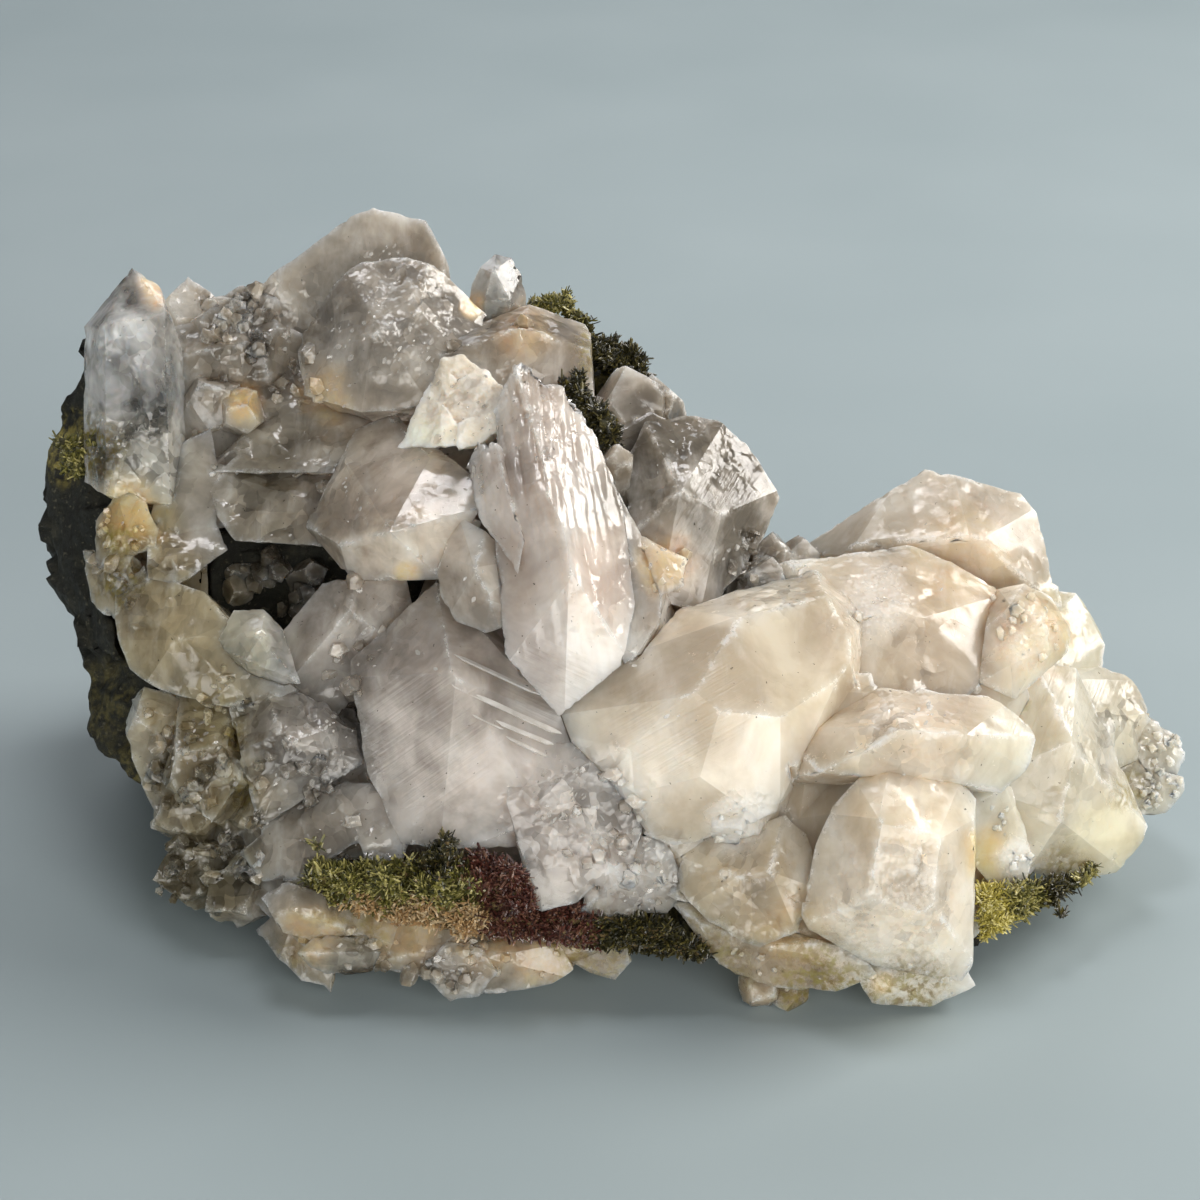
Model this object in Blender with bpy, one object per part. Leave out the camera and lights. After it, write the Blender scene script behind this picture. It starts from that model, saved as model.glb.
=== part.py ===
"""Epidote in quartz: a hand-size mineral specimen, as it lies on a table.

Clear, grey and milky quartz crystals stand on a plate of dark rock, with crusts of epidote needles between them.
The left end is a tall mound of grey crystals, and the right end is a low wing of milky ones.

Places are given in the picture plane of someone who looks at the specimen from the front and a little from above:
(across, up, depth) in millimetres, where depth is measured away from the viewer. place() turns them into the
specimen's own frame, in which X runs to the right, Y away from the viewer and Z up.
"""

import math
import random

import bmesh
import bpy
from mathutils import Matrix, Vector, noise

# Sizes in millimetres.
MM = 0.001
GAP = 0.3
VIEW_DISTANCE = 340.0
VIEW_ELEVATION = math.radians(26.0)
VIEW_CENTRE = Vector((0.0, 11.0, 20.7))

# Angle between a prism face of quartz and the point face above it.
POINT_FACE_ANGLE = math.radians(38.2)
# How much further out the three minor faces of a point lie, as a share of the crystal's width.
MINOR_FACE_OFFSET = 0.14
# Corners whose facets differ by less than this belong to one flat face.
FACET_MERGE_ANGLE = math.radians(14.0)
# Facets smaller than this share of a crystal's surface are left out.
SMALL_FACET = 0.004
ROCK_MERGE_ANGLE = math.radians(12.0)
# Faces that differ by less than this are joined in the finished solids.
FLAT_ANGLE = math.radians(0.5)

ROCK_ROUGHNESS = 2.4
ROCK_GRAIN = 8.0
LONG_ROCK_EDGE = 14.0

NEEDLE_WIDTH = (0.9, 1.5)
NEEDLE_LENGTH = (3.0, 5.5)

BACK = Vector((0.0, math.cos(VIEW_ELEVATION), -math.sin(VIEW_ELEVATION)))
UP = Vector((0.0, math.sin(VIEW_ELEVATION), math.cos(VIEW_ELEVATION)))
RIGHT = Vector((1.0, 0.0, 0.0))


def place(spot):
    """Millimetres in the specimen's frame of a spot given as (across, up, depth)."""
    across, up, depth = spot
    spread = 1.0 + depth / VIEW_DISTANCE
    return VIEW_CENTRE + (RIGHT * across + UP * up) * spread + BACK * depth


# Crystals of the left mound that are not plain hexagonal prisms, each by its corners.
GREY_BLOCKS = {
    "tall_prism": [
        (-49.5, 10.5, -15), (-43, 9.6, -15.5), (-49.5, 27.5, -15), (-43.5, 29, -15), (-51.6, 12, -11),
        (-51.6, 27.3, -11), (-41.2, 11.5, -12), (-41.8, 25.5, -12), (-49.5, 11, -5.5), (-43, 11, -6),
        (-49.5, 27, -6), (-43.5, 27, -6), (-46.8, 33.2, -11), (-44, 31.4, -11), (-45, 9, -10),
    ],
    "top_back_slab": [
        (-34.5, 30.8, -8), (-24.5, 38.6, -9), (-22.5, 39.2, -8.5), (-17.5, 37.4, -9), (-15.3, 34, -9),
        (-14.6, 30, -8), (-33, 28, 3), (-23, 36, 3), (-18, 35, 4), (-15, 29, 3), (-31, 18, -10),
        (-15.5, 19, -10), (-35, 25, -8), (-30, 18, 1), (-16, 18, 2),
    ],
    "frosted_boulder": [
        (-30.3, 25, -14), (-29, 28, -14), (-26.5, 31.5, -15), (-24, 33.8, -14), (-20, 34.3, -13.5),
        (-16, 33, -14), (-12.2, 29, -14), (-13, 24, -19), (-17, 19.2, -21), (-24, 18.8, -21),
        (-29.5, 20.5, -18), (-22, 27, -20.5), (-18, 29, -19), (-26.5, 25.5, -19), (-28, 25, -5),
        (-14, 27, -5), (-20, 32, -6), (-20, 16, -6),
    ],
    "rear_tip": [
        (-13.3, 29, -8), (-12.8, 31.6, -8), (-11.9, 33.4, -8), (-10.4, 34.6, -7.5), (-8.9, 34.2, -7.5),
        (-7.8, 32.4, -7.5), (-7.3, 29, -7.5), (-11.5, 30, -10.5), (-9, 30, -10.3), (-10.6, 33, -9.8),
        (-12.6, 30, -4), (-8, 30, -4), (-10.4, 33, -4.5), (-11, 22, -7), (-9, 22, -4),
    ],
    "flat_topped": [
        (-18, 25.5, -17), (-7, 29.6, -12), (-1.5, 27.5, -11), (-0.5, 22, -14), (-17.5, 24, -19.5),
        (-8, 27.2, -20), (-0.8, 25, -18), (-15, 17, -19), (-6, 16, -21), (-1, 17, -17), (-14, 24, -6),
        (-3, 25, -5), (-8, 14, -8),
    ],
    "sugary_wedge": [
        (-19.5, 15.4, -24.5), (-18.5, 19, -23.5), (-15.5, 24, -21.8), (-13.8, 24.6, -21.8), (-12, 22.5, -23.3),
        (-9.8, 21.2, -24), (-9.8, 17, -26.5), (-12, 15.7, -27), (-16, 15.2, -27.5), (-17, 16, -16),
        (-11, 16, -16), (-13.5, 23, -15),
    ],
    "centre_blade": [
        (-8.4, 23.6, -25), (-9.8, 20.4, -26), (-5.5, 21.8, -25), (-3.5, 20, -24.5), (-10.2, 15.5, -28.5),
        (-10.8, 9.5, -31), (-8, 3, -33), (-9.4, -4, -33), (-9.2, -5.5, -33), (-4, -11.5, -33.5),
        (-7, -8.4, -33.5), (-1, 17, -24.5), (0, 13, -26), (2.4, 9, -28), (3.4, 0, -30.5), (-5.4, 13, -32.5),
        (-3, 3, -35.5), (2.4, -5.5, -33), (0, -8.2, -33.3), (-8, 15, -19), (-3, 12, -18), (-6, -6, -23),
        (2, 0, -22),
    ],
    "blade_edge": [
        (-12.2, 15.8, -28), (-13.2, 13.9, -28.5), (-12.9, 12, -29.5), (-12.1, 8.2, -31.3), (-11.6, 7.5, -31.8),
        (-9.8, 7.2, -32.4), (-8.2, 3, -33.2), (-7.6, 6, -33.4), (-9.6, 12.5, -31.3), (-10.3, 15.8, -29.5),
        (-9, 12, -25), (-8, 6, -26),
    ],
    "blade_shoulder": [
        (-0.5, 15, -23), (1.6, 11.5, -25.5), (4.2, 6, -27), (6.4, 1, -27.5), (5.8, -2.5, -28.5),
        (3.4, -5.8, -31), (2.3, -6.5, -31.5), (1, 6, -30.5), (4, 4, -15), (8, -3, -19), (0, 8, -16),
    ],
    "right_boulder": [
        (2.6, 14, -20), (4.5, 17.8, -19), (9, 18.5, -17.5), (12, 17.7, -17), (14.2, 16, -17),
        (15.1, 14.2, -17.5), (18, 10.3, -17), (16.6, 6.8, -18), (13, 1.5, -21), (10, -1.5, -24),
        (6, 0, -24.5), (2.8, 6, -24), (8, 11, -25), (12, 8.5, -23.5), (6, 16, -7), (13, 15, -7),
        (16, 9, -7), (8, -1, -9),
    ],
    "stained_knob": [
        (3.9, 6.5, -26.8), (6, 5.2, -27.3), (8.9, 4.1, -26.5), (8.3, 1.4, -27.3), (6, 0.6, -28.2),
        (4.7, 3.8, -28.4), (6, 3, -20), (8, 4, -20),
    ],
    "mirror_crystal": [
        (-25.4, 15, -19), (-24, 17.3, -17.5), (-21, 18.4, -18), (-17, 14.4, -25), (-14, 13.6, -25.6),
        (-12, 11, -27.3), (-12, 9.2, -28.5), (-21, 6.8, -30.6), (-16, 2.2, -27.5), (-20, 1.9, -26.5),
        (-25, 2.1, -23.5), (-28.3, 6, -21), (-28.8, 7.5, -20.5), (-27.6, 11, -20), (-26.6, 13, -19.5),
        (-26.2, 5.5, -25.4), (-24, 12, -9), (-14, 10, -11), (-18, 3, -11),
    ],
    "round_companion": [
        (-16.3, 2.5, -28), (-15.5, 5.5, -28.5), (-14, 8, -28.5), (-11.5, 7, -30.5), (-9.5, 5, -31),
        (-8, 3, -31.5), (-8.5, -1, -31.5), (-10, -2.9, -31.5), (-11.5, -3.3, -31), (-14.5, -2, -30),
        (-16, 0.5, -28.5), (-12.5, 3, -33), (-11, 0, -33.2), (-14, 2, -19), (-9, 1, -19),
    ],
    "striated_prism": [
        (-16.4, 1.9, -25), (-24.8, -5.8, -25), (-14.8, -7.5, -31.8), (-4, -11.5, -31), (-3.8, -13.7, -31.5),
        (-23.8, -14, -27), (-22.8, -18, -28), (-20, -24, -29), (-14, -25, -32), (-6, -22, -33),
        (-2, -17, -31.5), (-3, -24, -31.5), (-22, -8, -14), (-8, -3, -15), (-10, -20, -15), (-20, -20, -16),
    ],
    "bright_point": [
        (-36.6, -1, -24), (-33.5, -1.1, -25.3), (-31.6, -3, -25.8), (-30, -8.3, -27), (-35.5, -6, -28),
        (-37.5, -5, -25.8), (-38.3, -4, -24.8), (-34, -3.8, -28.8), (-36, -4, -15), (-32, -4, -15),
        (-31, -7, -17), (-34, -8.8, -21),
    ],
    "yellow_bulge": [
        (-48.6, 0.5, -17), (-48.2, -4, -19), (-47, -7, -20), (-43, -9.3, -22), (-38, -10.6, -23.5),
        (-33, -10.2, -25), (-30.4, -9, -25), (-36.5, -3, -23.5), (-39.5, 0.8, -21), (-44, 2.4, -18),
        (-42, -4, -23.5), (-46, -2, -7), (-36, -2, -9), (-35, -9, -11),
    ],
    "stain_crest": [
        (-50.5, 8, -14), (-48, 10.8, -15), (-45.5, 9.6, -16.8), (-44.2, 7, -17.2), (-44.4, 5.3, -17),
        (-49, 5, -16), (-50.3, 3, -15), (-47.5, 7, -17.5), (-48, 7, -5), (-45, 7, -6),
    ],
    "stain_foot": [
        (-51.6, 5, -11), (-49.5, 4.5, -15), (-46, 4.3, -17), (-44.7, 1, -18), (-46.3, -1.8, -17.8),
        (-49.4, -1.8, -14.5), (-50.6, 0, -12), (-48, 1, -4), (-46, 0, -5),
    ],
    "pale_saddle": [
        (-45.2, 6, -16.5), (-44, 8, -15.5), (-38.5, 7.8, -15), (-37.3, 5, -17), (-41.5, 2, -19),
        (-45, 2.2, -18.3), (-42, 5, -5), (-39, 4, -6),
    ],
    "lower_bar": [
        (-39, 12.4, -13), (-37.5, 13.2, -14), (-27, 13, -15), (-26.5, 9, -19.5), (-28, 5.4, -20),
        (-36.5, 5.9, -18), (-38, 8, -17), (-39, 11, -15), (-37, 12, -4), (-27, 12, -4), (-28, 5.5, -8),
        (-38, 13.6, -12), (-27, 14, -14),
    ],
    "upper_bar": [
        (-39, 13.6, -13), (-36.5, 15.6, -13.5), (-33.5, 17.7, -13), (-32.5, 19.4, -12), (-25, 19.1, -14),
        (-22.8, 18.3, -15), (-24.5, 15, -18.5), (-27, 12.7, -19), (-38.5, 12.8, -15), (-36, 17, -2),
        (-25, 17, -3), (-30, 12, -4),
    ],
    "frosted_ledge": [
        (-37, -11, -23), (-34, -9.6, -25), (-30, -9.3, -24), (-27.5, -10.3, -23), (-24.2, -13, -25),
        (-24, -16, -26), (-27, -18.6, -27.3), (-30, -20, -27.8), (-34, -22.6, -28), (-35, -19, -28),
        (-36, -15, -27), (-31, -14, -29.3), (-33, -14, -13), (-26, -14, -15),
    ],
    "dull_block": [
        (-36, -25, -24), (-30, -20, -26), (-25.5, -18.1, -26), (-22, -18.8, -27), (-20.5, -22, -28),
        (-27, -26, -29.3), (-30.5, -28, -29.3), (-34, -28, -27.5), (-32, -24, -15), (-24, -22, -15),
    ],
    "dull_chip": [
        (-24, -18.4, -25), (-21.3, -17.9, -25.8), (-19.8, -22, -28.5), (-19, -24, -28.8), (-19.8, -26.3, -29.8),
        (-23.4, -26, -29.8), (-25, -22, -28), (-23, -22, -18),
    ],
    "tiny_crystal": [
        (-30.3, -35.3, -30.4), (-28.7, -33.7, -30), (-23.5, -33.5, -30), (-21.9, -35.2, -30.4),
        (-22.8, -37, -30.2), (-25.5, -37.5, -30), (-28.3, -37.1, -30.2), (-28.2, -35.3, -31.9),
        (-24.2, -35.2, -31.9), (-26.2, -34.2, -28), (-25.5, -36.6, -28),
    ],
    "yellow_heel": [
        (-34, -32.8, -23), (-32.5, -35, -25), (-30, -38, -26.8), (-27, -38.8, -27.5), (-26, -34, -28),
        (-30, -29, -26), (-31, -31, -25), (-29, -33, -15), (-26, -35, -16),
    ],
    "white_foot": [
        (-17.6, -36, -30), (-15, -34.3, -30.3), (-12, -35, -31.3), (-10.3, -37, -31.3), (-12, -39.6, -31),
        (-15, -40.2, -30.3), (-17, -38.2, -30), (-14, -36, -21), (-12, -34, -21),
    ],
    "front_ledge": [
        (-11, -33.8, -29), (-4, -34.4, -29), (-2.6, -37, -28.6), (-5, -38.5, -29), (-12, -39.2, -30),
        (-12, -35.8, -31.3), (-7, -35, -19), (-3, -34, -19),
    ],
    "front_knuckle": [
        (-3.2, -34, -27.3), (0, -32.7, -28), (2.6, -33.8, -28.4), (3.2, -36, -28.3), (1.5, -38, -28),
        (-1, -37.3, -27.6), (-3.2, -36, -27.6), (0, -34, -18),
    ],
    "upper_mass": [
        (-43, 8, -12), (-44, 24, -8), (-38, 27, -7), (-14, 27, -10), (-8, 20, -16), (-10, 11, -21),
        (-22, 9, -17), (-30, 8, -14), (-40, 7, -13), (-42, 23, 1), (-12, 25, 1), (-10, 9, 1), (-42, 8, 1),
    ],
    "centre_mass": [
        (-10, 22, -12), (2, 20, -14), (14, 14, -14), (16, 8, -14), (12, -2, -18), (2, -20, -22), (-6, -28, -24),
        (-20, -26, -22), (-22, -10, -18), (-14, 0, -19), (-8, 10, -19), (0, 16, -1), (14, 9, -2), (8, -4, -6),
        (-18, -10, -8), (-18, -24, -12), (0, -22, -12), (-10, 20, -1),
    ],
    "left_mass": [
        (-50, 8, -10), (-39.5, 7, -11), (-40, 0, -14), (-39, -6, -16), (-47, -6, -14), (-50, 2, -10), (-49, 7, -2),
        (-40, 6, -2), (-40, -8, -4), (-47, -6, -4),
    ],
    "web": [
        (-43, 15, -12.5), (-39, 17, -13), (-37.8, 12, -14.8), (-38.4, 7.6, -15.8), (-42, 6.6, -16.2),
        (-45, 8, -15), (-41, 10, -15.8), (-42, 12, -5), (-39, 12, -5),
    ],
    "lower_mass": [
        (-44, -10, -15), (-24, -12, -21), (-24, -17, -22), (-26, -26, -24), (-40, -26, -14), (-44, -20, -13),
        (-36, -10, -19), (-22, -26, -28.4), (-20, -22, -24), (-44, -9, -4), (-26, -9, -4), (-26, -26, -8),
        (-40, -26, -6),
    ],
    "base_vein": [
        (-36, -29, -20), (-31, -33.5, -26.4), (-27, -35.8, -28.6), (-16, -36, -29.2), (-4, -35.4, -28.6),
        (3, -35, -27.6), (-30, -26, -24), (-6, -28, -28), (2, -30, -26), (-14, -38, -28.4), (-30, -30, -12),
        (0, -31, -14), (-12, -36, -18),
    ],
    "valley_base": [
        (8, 2, -15), (9, -3, -16), (12, -3, -20), (21, -2, -15), (21.4, 2.6, -12.5), (16, 3.8, -16),
        (13, 4, -18), (15, 0, -5), (20, 0, -5), (9, 2, -6),
    ],
    "crackled_upper": [
        (-8, -14.5, -31.3), (-3, -14.2, -31.8), (0, -18, -32.3), (2.8, -20, -32.8), (4.5, -22, -32.3),
        (3.5, -26, -32.8), (-2, -30, -32.3), (-6.5, -31, -32), (-7.5, -26, -33), (-9.5, -20, -33),
        (-5, -20, -19), (3, -24, -19),
    ],
    "crackled_lower": [
        (0, -22, -32.5), (7, -24.8, -31.3), (8.5, -28, -30.5), (7, -31.2, -30), (1, -31.7, -31.3),
        (-2, -31.2, -31.5), (2, -28, -33.3), (4, -28, -18), (0, -27, -18),
    ],
}

# Hexagonal prisms of the left mound: foot, point, width, thickness and turn about the length.
GREY_PRISMS = {
    "yellow_nub": [(-41, 20, -2), (-41.2, 32.4, -5), 6.4, 5.6, 10],
    "jumble_left": [(-40, 22, -5), (-37.8, 29.6, -9), 4.6, 4.2, 20],
    "jumble_middle": [(-37, 22, -4), (-35.4, 31.6, -8), 4.4, 4.6, 40],
    "jumble_right": [(-33, 22, -5), (-33.2, 30.4, -9.5), 4.6, 4.2, 0],
    "layered_bar": [(-43, 22.5, -7), (-28, 25.2, -9), 8.4, 7.5, 15],
    "glass_step": [(-41, 17.5, -6), (-37, 21, -14), 5.4, 5.0, 25],
    "orange_nub": [(-36.5, 17.5, -8), (-35.2, 19.6, -16), 4.0, 3.8, 0],
    "leaning_prism": [(-31, -10.5, -18), (-19.6, 3, -21.5), 9.2, 8.0, 12],
    "cavity_chip": [(-36.5, 1.5, -9), (-35.8, 2.2, -16.5), 3.0, 2.6, 0],
    "cavity_sliver": [(-30, 0.5, -10), (-29.4, 1.6, -17.5), 2.4, 2.2, 25],
    "left_finger": [(-41.5, -20.5, -14), (-45.6, -8.6, -19.5), 6.0, 5.6, 0],
    "hanging_prism": [(-38, -9, -14), (-38.8, -22, -24.5), 8.6, 8.2, 20],
    "outer_knob": [(-37, -20, -12), (-44.6, -22.4, -18), 6.8, 6.4, 10],
    "lowest_knob": [(-34, -26.2, -13), (-44.9, -28, -18), 6.2, 6.2, 25],
    "under_knob": [(-32, -27.5, -16), (-39.2, -31, -22.4), 5.4, 5.4, 0],
    "rim_crystal": [(3.6, 13, -8), (2.6, 23.4, -15), 6.8, 6.2, 10],
    "rim_crystal_back": [(6, 13, -6), (5.2, 22.6, -11.5), 5.2, 5.0, 35],
    "white_chip": [(1.4, 10, -20), (1.9, 15.6, -23.5), 2.8, 2.4, 0],
    "valley_low": [(14.5, -4, -16), (17.2, 4.2, -21.5), 4.4, 3.8, 15],
    "valley_high": [(17, 0, -10), (17.2, 6.8, -15), 4.0, 3.6, 40],
    "valley_right": [(19, 0, -9), (20.4, 6.2, -13.5), 3.8, 3.6, 10],
    "tan_finger": [(-21, -34, -27), (-33.9, -29.8, -29.4), 4.4, 4.2, 0],
}

# Crystals of the right wing, each by its corners.
MILKY_BLOCKS = {
    "great_crystal": [
        (-4, -11.6, -30.5), (-2, -10, -30), (2, -7.2, -29), (4, -4.5, -28), (6.5, -2.5, -27), (10, -1.5, -26),
        (13.5, 0, -24.5), (17, 1.7, -22.5), (22, 2.5, -20.5), (26, -1, -23.5), (26, -5, -27), (25, -9, -30),
        (18.4, -14.5, -34), (18.4, -17.8, -34.5), (17.8, -20.5, -34.5), (11, -23.5, -33.5), (7.2, -24.3, -32.5),
        (4, -23, -32), (0, -19, -31.5), (-2.5, -15.5, -31.5), (5, -10, -15), (20, -5, -11), (10, -18, -15),
        (13.7, -2, -31.5), (22.8, 0, -29), (25, -4, -30.5), (23.6, -8, -32.6), (18.1, -11.7, -35.2),
        (12.5, -11.3, -36), (10, -9.4, -35.6), (3, -14.5, -34.2), (2.8, -18.8, -34), (9.5, -18, -35.6),
    ],
    "upper_block": [
        (18, 3.4, -19), (25, 4, -18.5), (29, 5, -17.5), (31, 5.2, -17.5), (36, 3, -18), (40, 0.5, -18.5),
        (41, -2, -19.5), (40, -6, -21.5), (35, -10.5, -26), (28, -10.8, -28), (24, -9.5, -29), (24, -2, -26),
        (32, -2, -25), (22, 2, -5), (38, 0, -7), (30, -8, -11),
    ],
    "rusty_knob": [
        (39.8, 1, -18.5), (42.4, 1.5, -19), (45, 0, -19.2), (46.8, -2.6, -19.8), (46.6, -4.8, -20.4),
        (44.6, -7, -21.5), (41.2, -9.6, -23.6), (38.4, -8.4, -24), (38.6, -3, -22.8), (41, -0.5, -22.6),
        (44, -2, -22.8), (44.4, -5, -23), (41, -6.4, -24.6), (43, -3, -11), (39, -6, -12),
    ],
    "lying_prism": [
        (18, -17.8, -31), (18, -13, -31), (25, -10, -29.5), (29, -9, -29.5), (35, -10.3, -28.5),
        (40, -10.5, -28), (42.6, -12.5, -28), (43.3, -14, -28.5), (42.5, -17, -29.5), (40, -19.1, -30.5),
        (36, -18.1, -33.5), (28, -16.2, -35.5), (22, -17.1, -35.5), (30, -13, -36.5), (37, -13.5, -34.5),
        (22, -14, -19), (38, -14, -17),
    ],
    "rear_point": [
        (20.8, 4.7, -10), (23, 6.5, -10.5), (27, 9, -11), (29.8, 11.4, -11), (33, 12.4, -11),
        (35.5, 12.3, -11), (38, 11.2, -11.5), (42.5, 9.8, -11.5), (43.5, 8.5, -12), (44.6, 4, -13),
        (45.6, -0.5, -14), (30, 6, -16), (38, 6, -17), (24, 4.5, -15), (24, 5, 2), (32, 10, 1), (41, 8, 0),
        (44, -1, -2), (22, -1, -2),
    ],
    "rear_shard": [
        (44, 1, -9), (47.5, 0.6, -9), (49.4, -2.5, -9), (50.3, -4.5, -10), (50, -7.5, -11), (46, -7.5, -15),
        (43.5, -4, -15), (44, -3, 0), (49, -4, -2),
    ],
    "pale_green_crystal": [
        (40, -8.5, -20), (44, -6.5, -19), (47.5, -7, -17), (50, -14.5, -18), (52, -18, -17.5),
        (54.6, -22.7, -17), (54.3, -23.8, -17), (51.5, -26.9, -18), (46, -28.1, -20.5), (43, -26.5, -22.5),
        (41, -23, -24), (40.5, -18, -25), (47, -14, -24.8), (46, -22, -24.8), (43, -14, -7), (51, -22, -7),
    ],
    "end_block": [
        (46, -6, -12), (50, -6.8, -11), (53, -8.2, -10), (54.6, -11, -10.5), (53.5, -16, -13), (51.5, -17, -15),
        (49, -12, -17), (47, -8, -16), (48, -8, 0), (53, -12, -1), (50, -16, -2),
    ],
    "end_tooth": [
        (53, -10.4, -11), (56, -12.6, -10), (57.6, -13.8, -9.5), (58.5, -15.5, -9.5), (57.5, -17.3, -10.5),
        (55, -17.4, -12), (53, -15, -12.8), (55, -14, -3), (52, -14, -4),
    ],
    "end_druse": [
        (52.4, -18, -12.5), (56, -17.2, -12), (58.1, -17.8, -11), (58.3, -19, -11), (56.5, -21.2, -12),
        (54.3, -21.4, -13), (53, -20, -5), (55, -17, -5),
    ],
    "front_block": [
        (21.5, -26, -34), (22, -24, -34.5), (23.2, -21.2, -35), (25.5, -18.5, -34.8), (27, -17.2, -34.3),
        (28.5, -16.8, -34.3), (34, -17.8, -33.5), (36, -18.2, -33), (37.4, -20, -32.5), (37.1, -30, -33),
        (37.1, -36.5, -31.8), (36, -37.8, -31.5), (33, -37.4, -32), (28, -36.5, -33.3), (24, -34.5, -34.3),
        (20.8, -32.5, -35), (20.4, -31.5, -35), (28, -22, -38.3), (34, -24, -37.3), (27, -30, -38.8),
        (33, -31, -37.3), (24, -24, -19), (35, -24, -19), (30, -34, -19),
    ],
    "beige_block": [
        (10, -24, -30), (14, -23, -31), (18.5, -21.8, -31.5), (20.5, -23.5, -31.5), (21.3, -26, -32.3),
        (21, -29.5, -33.3), (19.5, -33, -33.8), (16, -34.5, -33.3), (11, -32, -32.3), (8, -29, -31.3),
        (8, -26, -30.8), (14, -28, -34.3), (17, -27, -34.8), (10, -26, -17), (18, -26, -17),
    ],
    "shaded_recess": [
        (17.5, -17, -27.5), (27, -15.5, -27.5), (25, -21, -30), (21.5, -27, -31), (18, -23, -30),
        (22, -20, -15), (18, -22, -16),
    ],
    "under_facets": [
        (7.6, -30.4, -30), (10, -32.4, -31.3), (17, -34.6, -33), (23, -34.4, -33), (26.2, -35.8, -33),
        (27.2, -37.2, -32), (24, -38.7, -31.3), (17, -38.6, -31.3), (12, -36.3, -30.8), (12, -34, -19),
        (22, -35, -19),
    ],
    "grey_heel": [
        (25.5, -36.8, -31.3), (30, -36.5, -32.3), (33, -37, -31.8), (36.6, -37.2, -31), (37.4, -38.5, -30.5),
        (34, -40, -30), (30, -40.5, -30.3), (27, -39.8, -30.8), (32, -37.5, -20), (27, -37, -20),
    ],
    "wing_mass": [
        (18, -14, -26), (22, -8, -27), (28, -8, -26), (42, -7.5, -21.5), (46, -18, -20), (44, -26, -22),
        (37, -34, -28), (26, -36.5, -31), (16, -34, -31.6), (10, -31, -29), (10, -22, -27), (20, -8, 2),
        (42, -8, 2), (44, -22, -4), (16, -26, -8),
    ],
    "wing_back": [
        (20, 2, -8), (40, 2, -8), (44, -6, -8), (22, -8, -8), (24, 4, 0), (41, 5, 0), (44, -6, 0), (20, -8, 2),
    ],
    "wing_joint": [
        (21, -7, -30), (27, -7.5, -28.4), (28, -12, -30), (20, -13.5, -32.6), (19, -16, -33), (24, -9.5, -30.6),
        (24, -10, -20),
    ],
    "end_web": [
        (50, -15, -14), (54, -15, -12), (56, -17, -11.4), (55.6, -18.4, -12), (54, -20.6, -13), (50.5, -20, -15),
        (52, -18, -5), (55, -17, -5),
    ],
    "corner_fill": [
        (5, -22, -30.5), (10, -22.5, -30.5), (11, -26, -30.5), (9, -30, -30.5), (6.5, -29, -30.8),
        (5, -25, -31), (8, -25, -16),
    ],
    "cream_rib": [
        (37.3, -18.8, -28.5), (40.5, -18.6, -28.5), (41.6, -21, -27.5), (43, -26, -27), (42.6, -28.2, -26.5),
        (39, -28.2, -28.5), (37.2, -26, -30.3), (36.8, -21, -31), (39, -22, -15), (40, -27, -15),
    ],
}

# Small teeth that fill the edges of the right wing: foot, point, width, thickness and turn.
MILKY_PRISMS = {
    "white_lip": [(18, -19, -27), (11.4, -22.6, -34.6), 4.4, 3.6, 0],
    "under_tooth": [(17, -37, -26), (15.4, -39.8, -31), 3.0, 2.8, 20],
    "under_tooth_right": [(19, -38, -26), (18.6, -41.0, -30), 3.2, 3.0, 0],
    "back_wing_left": [(26, -8, -6), (20, 4.6, 8), 8.0, 7.0, 15],
    "back_wing_middle": [(33, -8, -6), (35, 2.4, 10), 10.0, 8.6, 30],
    "back_wing_right": [(41, -10, -6), (45.5, -3.4, 8), 7.0, 6.4, 0],
}

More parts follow.
